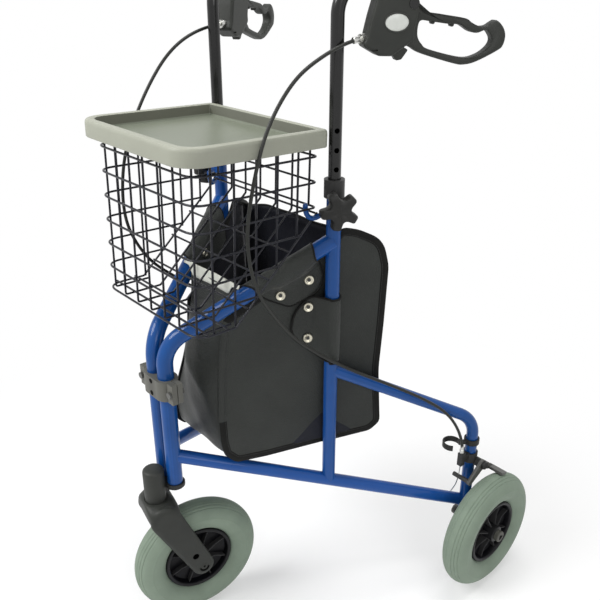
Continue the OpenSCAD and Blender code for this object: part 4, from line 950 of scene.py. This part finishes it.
for side, sign in SIDES:
    place = side_place(sign)
    line = relaxed(smooth(ROUTES[side], 6))
    cable = build(side + "_cable_form", [sweep(line, CABLE_R, 12)], place, "cable", None,
                  [side + "_cable"])
    blend_start, blend_end = (place(p) for p in CABLE_BLEND)
    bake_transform(cable)
    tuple(blend_start)
    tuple(blend_end)
    route = [place(p) for p in line]
    length = sum((b - a).length for a, b in zip(route, route[1:]))
    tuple(route[0])
    stop = lathe_z(CABLE_STOP, CABLE_END, 20)
    build(side + "_stop_ferrule", [stop], place, "steel", side + "_frame")
    tail = sweep(smooth(INNER_WIRE, 5), INNER_WIRE_R, 8)
    build(side + "_inner_wire", [tail], place, "steel", side + "_frame")


# Tray

TRAY_HALF, TRAY_FRONT, TRAY_BACK = 120.5, -18, 189
TRAY_FRONT_R, TRAY_BACK_R, TRAY_LEAST_R, TRAY_ARC = 33, 9, 1.5, 12


def tray_loop(inset, z):
    """Tray's outline at a height, rounder in front."""
    half, front, back = TRAY_HALF - inset, TRAY_FRONT + inset, TRAY_BACK - inset
    fr, rr = TRAY_FRONT_R - inset, max(TRAY_BACK_R - inset, TRAY_LEAST_R)
    out = []
    for cx, cy, r, lo in ((half - rr, back - rr, rr, 0), (-half + rr, back - rr, rr, 90),
                          (-half + fr, front + fr, fr, 180), (half - fr, front + fr, fr, 270)):
        for k in range(TRAY_ARC + 1):
            a = math.radians(lo + 90 * k / TRAY_ARC)
            out.append((cx + r * math.cos(a), cy + r * math.sin(a), z))
    return out


TRAY_TOP, TRAY_MIDDLE = 733.0, 86.5
TRAY_ROWS = ((3.6, -18), (3.2, -18.6), (3, -21), (0.7, -21), (0.1, -20.2), (0, -18), (0, -5), (0.5, -2.2),
             (1.8, -0.6), (3.8, 0), (10.6, 0), (12, -0.5), (12.8, -1.8), (14.4, -12), (15.6, -14.2),
             (18.5, -15))
# rows of faces where the inner wall and the dish start, which take the darker painted-shade colours
ROW_FACES, SHADE_WALL_ROW, SHADE_DISH_ROW = len(tray_loop(0, 0)), 11, 13
tray = build("tray_form", [loft([tray_loop(inset, TRAY_TOP + drop) for inset, drop in TRAY_ROWS])],
             tilt_place(TRAY_MIDDLE, TRAY_TOP), "tray", "tray", ["tray"], angle=30)
# painted shade: inner walls and dish floor darker than the rim
tray.data.materials.append(MAT["tray_wall"])
tray.data.materials.append(MAT["tray_dish_painted_shade"])
for face in tray.data.polygons:
    row = face.index // ROW_FACES
    under = face.index == len(tray.data.polygons) - 2
    if row >= SHADE_WALL_ROW and not under:
        face.material_index = 2 if row >= SHADE_DISH_ROW else 1


# Basket

WIRE_R, RIM_WIRE_R, INSET, BEND = 1.45, 2.2, 2.9, 3.5
BASKET_X, FLOOR_Z, PITCH = 107.2, 507.0, 32.0
BASKET_FRONT, BASKET_BACK, SLOPE_START, SLOPE_TOP = -1.0, 183.0, 55.0, 628.0
RIM_Z, BACK_IN = 712.2, 1.8
FRONT_ROUND, BACK_ROUND, STAKE_SHIFT, STUB_UP = 22, 8, 7, 7
FLOOR_RUN, FLOOR_SHARES, SLOPE_SHARES = 56, (0.25, 0.75), (0.15, 0.4, 0.64, 0.985)
TILT_AT = (90.0, 700.0)


def slope_z(y):
    """Height of the basket's floor or slope."""
    rise = (SLOPE_TOP - FLOOR_Z) / (BASKET_BACK - SLOPE_START)
    return FLOOR_Z if y < SLOPE_START else FLOOR_Z + (y - SLOPE_START) * rise


def slope_y(z):
    """Place back of the slope at a height."""
    return SLOPE_START + (z - FLOOR_Z) * (BASKET_BACK - SLOPE_START) / (SLOPE_TOP - FLOOR_Z)


def basket_parts():
    """Rings, rim, bent stakes, side stakes and cross wires."""
    parts = []

    def wire(path, closed=False):
        parts.append(sweep(path, WIRE_R, 8, closed))

    def across(y, z):
        wire([(-BASKET_X, y, z), (BASKET_X, y, z)])

    def ring(z):
        loop = [(BASKET_X, BASKET_FRONT, z), (BASKET_X, BASKET_BACK - BACK_IN, z),
                (-BASKET_X, BASKET_BACK - BACK_IN, z), (-BASKET_X, BASKET_FRONT, z)]
        return fillet(loop, [FRONT_ROUND, BACK_ROUND, BACK_ROUND, FRONT_ROUND], 7, True)

    for k in range(7):
        z = FLOOR_Z + PITCH * k
        if z > SLOPE_TOP:
            wire(ring(z), True)
        else:
            end = min(slope_y(z), BASKET_BACK)
            path = [(BASKET_X, end, z), (BASKET_X, BASKET_FRONT, z), (-BASKET_X, BASKET_FRONT, z),
                    (-BASKET_X, end, z)]
            wire(fillet(path, FRONT_ROUND, 7))
    parts.append(sweep(ring(RIM_Z), RIM_WIRE_R, 10, True))
    top, back = RIM_Z - RIM_WIRE_R, BASKET_BACK - BACK_IN - INSET
    for i in range(-3, 4):
        x = PITCH * i
        out = max(abs(x) - BASKET_X + FRONT_ROUND, 0)
        front = BASKET_FRONT + FRONT_ROUND - math.sqrt((FRONT_ROUND - INSET) ** 2 - out ** 2)
        path = [(x, front, top), (x, front, FLOOR_Z), (x, SLOPE_START, FLOOR_Z)]
        outermost = abs(i) == 3
        if not outermost:
            path += [(x, back, slope_z(back)), (x, back, top)]
        wire(fillet(path, BEND, 5))
        if outermost:
            wire([(x, back, SLOPE_TOP + STUB_UP), (x, back, top)])
    for face in FACES:
        x = face * (BASKET_X - INSET)
        for i in range(1, 6):
            y = BASKET_FRONT + PITCH * i - STAKE_SHIFT
            wire([(x, y, slope_z(y)), (x, y, top)])
        wire([(face * BASKET_X, SLOPE_START, FLOOR_Z), (face * BASKET_X, BASKET_BACK, SLOPE_TOP)])
    for share in FLOOR_SHARES:
        across(BASKET_FRONT + FLOOR_RUN * share, FLOOR_Z + INSET)
    run, rise = BASKET_BACK - SLOPE_START, SLOPE_TOP - FLOOR_Z
    length = math.hypot(run, rise)
    for share in SLOPE_SHARES:
        across(SLOPE_START + run * share - INSET * rise / length,
               FLOOR_Z + rise * share + INSET * run / length)
    return parts


build("basket_form", basket_parts(), tilt_place(*TILT_AT), "wire", "basket",
      ["basket_front", "basket_left", "basket_right", "basket_back", "basket_floor", "basket_slope"],
      angle=70)


# Bag: stiff side panels, sleeves over the top tubes, straps round the uprights, and one sheet between

PANEL_MID = -11.3
BOW, BOW_RUN, BOW_UP = 23.0, (82.0, 217.0), (310.0, 450.0)
PANEL = [(70, 288), (86, 271), (132, 268.6), (217, 269), (240, 271), (290, 277.4), (305, 291),
         (299, 382), (303, 455), (306, 540), (296.5, 578.5), (262, 595), (240, 600), (214, 574),
         (122, 512), (79, 484), (70, 412), (65, 350), (66, 310)]
PANEL_ROUND = [14, 16, 80, 80, 80, 18, 14, 200, 200, 60, 46, 60, 14, 40, 20, 8, 100, 200, 60]
PANEL_DROOP, DROOP_FROM, DROOP_RISE = {"left": 0.0, "right": 16.0}, 520, 60
PANEL_COUNT, PANEL_RINGS = 240, 14
PANEL_WAVE, WAVE_RUN, WAVE_UP, WAVE_START = 0.5, 23, 31, 6
# board, lining and binding: rows of inset and place across
BOARD_IN, BOARD_HALF, BOARD_EDGE = 9, 0.7, ((2, -0.7), (1.2, 0), (2, 0.7))
LINING_X, LINING_EDGE = -1.0, ((8, -1.0), (8, -0.5))
BINDING = ((10.6, 0.5), (9.8, 1.3), (5.5, 1.55), (1.4, 1.3), (0.1, 0.6), (0, 0), (0.1, -0.6),
           (1.4, -1.3), (5.5, -1.55), (9.8, -1.5), (10.6, -1.2), (4, -0.4), (4, 0.4))
# front edge above this height, where the binding is plain vinyl
PLAIN_FRONT = (82.0, 345.0)
STITCH_IN, STITCH_COUNT, STITCH_X, STITCH_HALF = 8.6, 250, (1.45, -1.6), 1.5
# stitch: share of its half length and radius
STITCH = ((-1, 0.16), (-0.5, 0.36), (0.5, 0.36), (1, 0.16))
STUD = ((-1.6, 3), (-1.6, 6.2), (-0.4, 7), (0.8, 6.8), (1.7, 6), (1.8, 5), (1.2, 4.1), (0.5, 3.4),
        (0.3, 1.6), (0.5, 0.3))
STUD_MIDDLE = ((-0.4, 2.5), (0.75, 2.5), (0.85, 1.9))
TOP_TUBE = (462.0, 125.0)
STRAP_TOP = [(170.5, 462), (172, 474), (175, 483), (180, 491), (185, 497), (194.5, 505.5), (204, 509),
             (240, 507)]
STRAP_LOW = [(170.5, 462), (172, 452), (175, 447), (180, 441.5), (195, 428.5), (215, 416), (240, 412)]
STRAP_PATH = [(-8.4, 170.5), (-8.4, 183), (-8.2, 196), (-1.5, 205.5), (5.6, 214.5), (9.6, 219.5),
              (10.9, 224.5), (9.4, 230), (5, 234), (-2, 235.6), (-8, 236)]
STRAP_ROWS, STRAP_SPREAD, STRAP_OUT, STRAP_SWELL, STRAP_IN = 16, 0.1, 0.7, 0.4, 0.6
STRAP_STUDS, FLAP_STUDS = [(193.8, 493), (193.3, 446.4)], [(194.6, 532.5), (156.2, 513.9)]
STRAP_STUD_X, FLAP_STUD_X, INNER_STUD = -6.4, -6.0, (-14.4, 134, 535)
STRAP_EDGE_R, SLEEVE_EDGE_R = 1.6, 1.35
# sleeve: across, height over the tube's axis or share of the flap's drop, first and last run
SLEEVE_TOP = [(-15.2, -41, 150, 200), (-15, -30, 139, 200), (-14.6, -15, 122, 199), (-13.4, 0, 110, 198),
              (-9.4, 9.6, 106, 197), (0, 13.4, 108, 196), (9.2, 9.4, 116, 196), (12.6, 0, 123, 197)]
SLEEVE_DROP = [(8.4, 0.2, 125, 200), (-1.6, 0.35, 127, 204), (-7.4, 0.5, 128, 208), (-8.2, 0.75, 129, 211)]
FLAP_EDGE = [(128, 517), (139, 509), (156, 501), (170, 496), (184, 502), (197, 508), (207, 514),
             (212, 524), (213.5, 538)]
FLAP_X, SLEEVE_ROWS, SLEEVE_THICK = -8.4, 32, 1.2
# sleeve: clearance round the tube, folds on the flap and ripples over the tube
SLEEVE_CLEAR, CLEAR_ABOVE = 12.2, -14
FOLD_BELOW, FOLD_BEYOND, FOLD, FOLD_UP, FOLD_RUN, FOLD_FADE = -16, -10, 1.3, 3.6, 26, 1.6
RIPPLE, RIPPLE_RUN, RIPPLE_ACROSS = 0.5, 8, 0.5


def top_tube(run):
    """Height of the top tube's axis."""
    return TOP_TUBE[0] + run * TOP_TUBE[1] / UPRIGHT_RUN


def panel_x(run, z):
    """Middle of a panel across: low in front it bows out past the rail."""
    low = ease((BOW_UP[1] - z) / (BOW_UP[1] - BOW_UP[0]))
    return PANEL_MID + BOW * max(0.0, (BOW_RUN[1] - run) / (BOW_RUN[1] - BOW_RUN[0])) * low


def bag_panel(side, sign):
    """Stiff panel with its lining, binding and stitches."""
    place, body = side_place(sign), side + "_frame"
    hung = [(s, z - PANEL_DROOP[side] * ease((z - DROOP_FROM) / DROOP_RISE)) for s, z in PANEL]
    outline = round_loop(hung, PANEL_ROUND, PANEL_COUNT)
    middle = Vector((sum(p[0] for p in outline), sum(p[1] for p in outline))) / len(outline)

    def ring(inset, x, share=0.0):
        out = []
        for p in inset_loop(outline, inset):
            s, z = Vector(p).lerp(middle, share)
            wave = PANEL_WAVE * math.sin(s / WAVE_RUN) * math.sin(z / WAVE_UP) * min(1, share * WAVE_START)
            out.append((panel_x(s, z) + x + wave, s, z))
        return out

    shares = [k / PANEL_RINGS for k in range(PANEL_RINGS)]
    board = [ring(BOARD_IN, -BOARD_HALF, k) for k in shares[::-1]] + [ring(*row) for row in BOARD_EDGE]
    board += [ring(BOARD_IN, BOARD_HALF, k) for k in shares]
    build(side + "_bag_panel_form", [loft(board)], place, "vinyl", body, [side + "_bag_panel"])
    inside = [ring(BOARD_IN, LINING_X, k) for k in shares[::-1]] + [ring(*row) for row in LINING_EDGE]
    build(side + "_bag_lining", [loft(inside)], place, "lining", body)
    tape = loft([ring(*row) for row in BINDING], closed=True)
    tape = build(side + "_bag_binding", [tape], place, "binding", body)
    tape.data.materials.append(MAT["vinyl"])
    for face in tape.data.polygons:
        s, z = outline[face.index % len(outline)]
        if s < PLAIN_FRONT[0] and z > PLAIN_FRONT[1]:
            face.material_index = 1
    stitches = []
    path = even(inset_loop(outline, STITCH_IN), STITCH_COUNT)
    for x in STITCH_X:
        for i, (s, z) in enumerate(path):
            d = (Vector(path[(i + 1) % len(path)]) - Vector(path[i - 1])).normalized() * STITCH_HALF
            ends = [Vector((panel_x(s, z) + x, s + k * d.x, z + k * d.y)) for k, _ in STITCH]
            stitches.append(sweep(ends, [r for _, r in STITCH], 5))
    build(side + "_bag_stitches", stitches, place, "thread", body)


def stud(centre, facing):
    """Press stud: ringed cap with a dimple, facing across."""
    return moved(lathe([(a * facing, r) for a, r in STUD], 28), centre)


def strap(side, sign):
    """Flap from the panel round the upright, and the middles of all the side's studs."""
    place, body = side_place(sign), side + "_frame"
    line = smooth([(x, s, 0) for x, s in STRAP_PATH], 4)
    outer, inner = [], []
    for i, p in enumerate(line):
        along = (line[min(i + 1, len(line) - 1)] - line[max(i - 1, 0)]).normalized()
        out = Vector((along.y, -along.x, 0))
        low, high = between(p.y, STRAP_LOW), between(p.y, STRAP_TOP)
        if i > len(line) // 2:
            low, high = STRAP_LOW[-1][1], STRAP_TOP[-1][1]
        shares = [k / STRAP_ROWS for k in range(STRAP_ROWS + 1)]
        heights = [low + (high - low) * k + (k - 0.5) * STRAP_SPREAD for k in shares]
        outer.append([p + out * (STRAP_OUT + STRAP_SWELL * math.sin(math.pi * k)) + Vector((0, 0, z))
                      for k, z in zip(shares, heights)])
        inner.append([p - out * STRAP_IN + Vector((0, 0, z)) for z in heights])
    rings = [o + i[::-1] for o, i in zip(outer, inner)]
    band = build(side + "_bag_strap", [loft(rings)], place, "vinyl", body, angle=60)
    border = [row[0] for row in outer][::-1] + outer[0][1:-1] + [row[-1] for row in outer]
    build(side + "_strap_binding", [sweep(border, STRAP_EDGE_R, 8)], place, "binding", body)
    places = [(STRAP_STUD_X, *p) for p in STRAP_STUDS]
    build(side + "_strap_studs", [stud(p, 1) for p in places], place, "stud", body)
    places += [(FLAP_STUD_X, *p) for p in FLAP_STUDS]
    dots = [moved(lathe(STUD_MIDDLE, 20), p) for p in places]
    build(side + "_stud_middles", dots, place, "brake", body)


def sleeve(side, sign):
    """Flap over the top tube: it hangs inside the bag and is pressed to the panel's outside."""
    place, body = side_place(sign), side + "_frame"
    edge = smooth([(s, z, 0) for s, z in FLAP_EDGE], 4)
    rows = []
    for i in range(SLEEVE_ROWS + 1):
        t = i / SLEEVE_ROWS
        tip = edge[round(t * (len(edge) - 1))]
        drop = tip.y - top_tube(tip.x)
        pts = [(x, first + (last - first) * t, h) for x, h, first, last in SLEEVE_TOP]
        pts += [(x, first + (last - first) * t, drop * share) for x, share, first, last in SLEEVE_DROP]
        pts.append((FLAP_X, tip.x, drop))
        row = []
        for x, s, h in smooth(pts, 3):
            near = math.hypot(x, h)
            if h > CLEAR_ABOVE and near < SLEEVE_CLEAR:
                x, h = x * SLEEVE_CLEAR / near, h * SLEEVE_CLEAR / near
            if h < FOLD_BELOW and x > FOLD_BEYOND:
                share = min(1.0, h / drop)
                x += FOLD * math.sin(h / FOLD_UP + s / FOLD_RUN) ** 2 * (1 - share) * FOLD_FADE
                row.append(Vector((x, s, top_tube(s) + h)))
            else:
                ripple = RIPPLE * math.sin(s / RIPPLE_RUN)
                row.append(Vector((x + ripple * RIPPLE_ACROSS, s, top_tube(s) + h + max(0, ripple))))
        rows.append(row)
    flap = build(side + "_bag_sleeve", [grid(rows)], place, "vinyl", None, angle=60, solid=False)
    thicken(flap, SLEEVE_THICK)
    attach(flap, body)
    starts, ends = [row[0] for row in rows], [row[-1] for row in rows]
    border = rows[0] + ends[1:] + rows[-1][::-1][1:] + starts[::-1][1:-1]
    border = sweep(border, SLEEVE_EDGE_R, 8, True)
    build(side + "_sleeve_binding", [border], place, "binding", body)
    studs = [stud((FLAP_STUD_X, *p), 1) for p in FLAP_STUDS] + [stud(INNER_STUD, -1)]
    build(side + "_sleeve_studs", studs, place, "stud", body)


GUSSET_EDGE = [(272, 92), (288, 74), (310, 70), (350, 69), (412, 74), (466, 82), (484, 87)]
GUSSET_FLOOR = [(92, 272), (217, 272), (284, 281)]
PANEL_INSIDE, COLUMNS = 2.4, [-1 + k / 18 for k in range(37)]
# sheet's top in front: height, place back and half width
WALL_TOP, TOP_ROWS, TOP_BULGE = (527.0, 89.0, 46.0), 9, 2.5
HEM_HALF, HEM_LOW, HEM_TOP, HEM_BACK, HEM_OVER = 62.0, 519.0, 536.5, 89.5, 531.8
HEM_ROWS, HEM_IN, HEM_LEAN, HEM_CORNER, HEM_EASE = 5, 2.4, 0.5, 40, 10
HEM_WAVE, HEM_WAVES, HEM_SHIFT = 0.9, 5, 1
# front wall: its slanting crease, how far it stands out there, and soft waves
CREASE_Z, CREASE_LEAN, CREASE_UP, CREASE_DOWN, CREASE_POWER = 401, 31, 120, 128, 1.7
FRONT_ROWS, FRONT_OUT, FRONT_EDGE, FRONT_WAVE, FRONT_WAVES, FRONT_WAVE_UP = 29, 22, 0.7, 0.8, 6, 17
FLOOR_ROWS, FLOOR_SAG = 16, 5
BACK_RUNS, BACK_LOW, BACK_TOP, BAG_FLOOR = (284.0, 270.0), 281.0, 584.0, 272.0
# back wall: its fold inwards, soft waves, and the dip of its top
BACK_ROWS, BACK_FOLD, BACK_DEEP, BACK_REACH, BACK_EDGE, BACK_START = 30, 4, 22, 1.05, 1.5, 4
BACK_WAVE, BACK_WAVES, BACK_WAVES_UP = 2, 9, 5
BACK_SAG, DIP_FROM, DIP_OVER = 3, 0.4, 0.6
BACK_HEM_R, SHEET_THICK, HEM_THICK = 1.5, 1.6, 0.9


def gusset_end(run, z):
    """Half width and place back where the sheet meets a panel's inside."""
    x = panel_x(run, z) - PANEL_INSIDE
    return PIVOT.x + run * SIN + x * COS, run * COS - x * SIN


def front_out(u, z):
    """The front wall stands out along a slanting fold."""
    up = z - (CREASE_Z - CREASE_LEAN * u)
    fall = (1 - up / CREASE_UP) if up > 0 else max(0.0, 1 + up / CREASE_DOWN) ** CREASE_POWER
    edge = (1 - u * u) ** FRONT_EDGE
    return edge * (FRONT_OUT * max(0.0, fall) + FRONT_WAVE * math.sin(FRONT_WAVES * u + z / FRONT_WAVE_UP))


def back_in(u, z):
    """The back wall folds in towards its middle, with soft waves."""
    v = (z - BAG_FLOOR) / (BACK_TOP - BAG_FLOOR)
    fold = BACK_FOLD + BACK_DEEP * math.sin(math.pi * min(1, v * BACK_REACH)) if v > 0 else 0
    wave = BACK_WAVE * math.sin(u * BACK_WAVES + v * BACK_WAVES_UP) * v * (1 - u * u)
    return (1 - abs(u) ** BACK_EDGE) * fold * min(1, v * BACK_START) + wave


def back_dip(u):
    """How far the back wall's top hangs: a little in the middle, more towards the lower panel."""
    return BACK_SAG * (1 - u * u) + PANEL_DROOP["right"] * ease((-u - DIP_FROM) / DIP_OVER)


def gusset():
    """One sheet: front wall, floor and back wall between the panels."""
    rows = []
    (floor_z, front_run), (top_z, top_run) = GUSSET_EDGE[0], GUSSET_EDGE[-1]
    half_low, y_low = gusset_end(top_run, top_z)
    for k in range(TOP_ROWS):
        t = 1 - k / TOP_ROWS
        z = top_z + (WALL_TOP[0] - top_z) * t
        half, y = half_low + (WALL_TOP[2] - half_low) * t, y_low + (WALL_TOP[1] - y_low) * t
        rows.append([(half * u, y + TOP_BULGE * math.sin(math.pi * t) * (1 - u * u), z) for u in COLUMNS])
    hem_rows = []
    for k in range(HEM_ROWS + 1):
        row = []
        for u in COLUMNS:
            low = HEM_LOW + (HEM_OVER - HEM_LOW) * ease((abs(u) * HEM_HALF - HEM_CORNER) / HEM_EASE)
            wave = HEM_WAVE * math.sin(HEM_WAVES * u + HEM_SHIFT) * (1 - u * u)
            y = HEM_BACK - HEM_IN + k * HEM_LEAN + wave
            row.append((HEM_HALF * u, y, low + (HEM_TOP - low) * k / HEM_ROWS))
        hem_rows.append(row)
    for k in range(FRONT_ROWS + 1):
        z = top_z + (floor_z - top_z) * k / FRONT_ROWS
        half, y = gusset_end(between(z, GUSSET_EDGE), z)
        rows.append([(half * u, y - front_out(u, z), z) for u in COLUMNS])
    for k in range(1, FLOOR_ROWS):
        run = front_run + (BACK_RUNS[0] - front_run) * k / FLOOR_ROWS
        level = between(run, GUSSET_FLOOR)
        half, y = gusset_end(run, level)
        sag = FLOOR_SAG * math.sin(math.pi * k / FLOOR_ROWS)
        rows.append([(half * u, y, level - sag * math.cos(math.pi / 2 * u)) for u in COLUMNS])
    for k in range(BACK_ROWS + 1):
        t = k / BACK_ROWS
        run, z = BACK_RUNS[0] + (BACK_RUNS[1] - BACK_RUNS[0]) * t, BACK_LOW + (BACK_TOP - BACK_LOW) * t
        half, y = gusset_end(run, z)
        rows.append([(half * u, y - back_in(u, z), z - t * back_dip(u)) for u in COLUMNS])
    sheet = build("bag_gusset_form", [grid(rows)], row_place, "lining", None, ["bag_gusset"],
                  angle=60, solid=False)
    sheet.data.materials.append(MAT["vinyl"])
    hem = build("bag_hem", [grid(hem_rows)], row_place, "hem", None, angle=60, solid=False)
    edge = build("bag_back_hem", [sweep(rows[-1], BACK_HEM_R, 8)], row_place, "binding", None)
    thicken(sheet, SHEET_THICK)
    thicken(hem, HEM_THICK)
    for piece in (sheet, hem, edge):
        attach(piece, "front_hub")
        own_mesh(piece)


for side, sign in SIDES:
    bag_panel(side, sign)
    strap(side, sign)
    sleeve(side, sign)
gusset()


# Camera, floor and light

SENSOR, LENS, EYE = 36.0, 44.042, (0.7489, -0.6330, 0.9170)
AZIMUTH, ELEVATION = math.radians(48.29), math.radians(25.18)
WHITE, FLOOR_COLOUR, FLOOR_HALF = (1, 1, 1, 1), (0.98, 0.98, 0.98, 1), 9
# dome strength as light, and as it is seen
DOME = (0.4, 1.0)
# floor: white by itself far out, lit with the object's shadow close by
FLOOR_FADE = {"From Min": 0.32, "From Max": 0.85, "To Min": 0.4, "To Max": 1.0}
# lamps: name, place, aim, size and power
LAMPS = (("key", (-0.9, -2.0, 2.4), (0, 0, 0.45), 1.8, 76),
         ("fill", (2.2, -0.6, 1.5), (0, 0, 0.4), 1.4, 12),
         ("top", (0.2, 0.4, 2.8), (0, 0, 0.4), 1.6, 32))


def seen(tree):
    """1 for rays that show the surroundings: to the camera, in gloss and through clear pieces."""
    path = node(tree, "ShaderNodeLightPath")
    total = path.outputs["Is Camera Ray"]
    for key in ("Is Glossy Ray", "Is Transmission Ray"):
        most = node(tree, "ShaderNodeMath", operation="MAXIMUM")
        tree.links.new(total, most.inputs[0])
        tree.links.new(path.outputs[key], most.inputs[1])
        total = most.outputs[0]
    return total


camera = add("camera", bpy.data.cameras.new("camera"))
camera.data.sensor_width, camera.data.lens, camera.location = SENSOR, LENS, EYE
look = Vector((-math.sin(AZIMUTH) * math.cos(ELEVATION), math.cos(AZIMUTH) * math.cos(ELEVATION),
               -math.sin(ELEVATION)))
camera.rotation_euler = look.to_track_quat("-Z", "Y").to_euler()
scene.camera = camera

world = bpy.data.worlds.new("studio")
scene.world = world
tree = fresh(world)
back = node(tree, "ShaderNodeBackground", Color=WHITE)
tree.links.new(spread(tree, seen(tree), *DOME), back.inputs["Strength"])
tree.links.new(back.outputs["Background"], node(tree, "ShaderNodeOutputWorld").inputs["Surface"])

floor_mesh = bpy.data.meshes.new("floor")
corners = [(x * FLOOR_HALF, y * FLOOR_HALF, 0) for x, y in ((-1, -1), (1, -1), (1, 1), (-1, 1))]
floor_mesh.from_pydata(corners, [], [(0, 1, 2, 3)])
floor = add("floor", floor_mesh)
floor_mat = bpy.data.materials.new("floor_white")
tree = fresh(floor_mat)
far = node(tree, "ShaderNodeVectorMath", operation="LENGTH")
tree.links.new(node(tree, "ShaderNodeNewGeometry").outputs["Position"], far.inputs[0])
fade = node(tree, "ShaderNodeMapRange", interpolation_type="SMOOTHSTEP", **FLOOR_FADE)
tree.links.new(far.outputs["Value"], fade.inputs["Value"])
share = node(tree, "ShaderNodeMath", operation="MULTIPLY")
tree.links.new(fade.outputs["Result"], share.inputs[0])
tree.links.new(seen(tree), share.inputs[1])
lit = node(tree, "ShaderNodeBsdfDiffuse", Color=FLOOR_COLOUR)
glow = node(tree, "ShaderNodeEmission", Color=WHITE, Strength=1.0)
mix = node(tree, "ShaderNodeMixShader")
for source, socket in zip((share, lit, glow), mix.inputs):
    tree.links.new(source.outputs[0], socket)
tree.links.new(mix.outputs[0], node(tree, "ShaderNodeOutputMaterial").inputs["Surface"])
floor_mesh.materials.append(floor_mat)

for name, place, aim, size, power in LAMPS:
    light = bpy.data.lights.new(name, "AREA")
    light.shape, light.size, light.energy = "DISK", size, power
    lamp = add(name, light)
    lamp.location = place
    lamp.rotation_euler = (Vector(aim) - Vector(place)).to_track_quat("-Z", "Y").to_euler()

scene.view_settings.view_transform = "Standard"
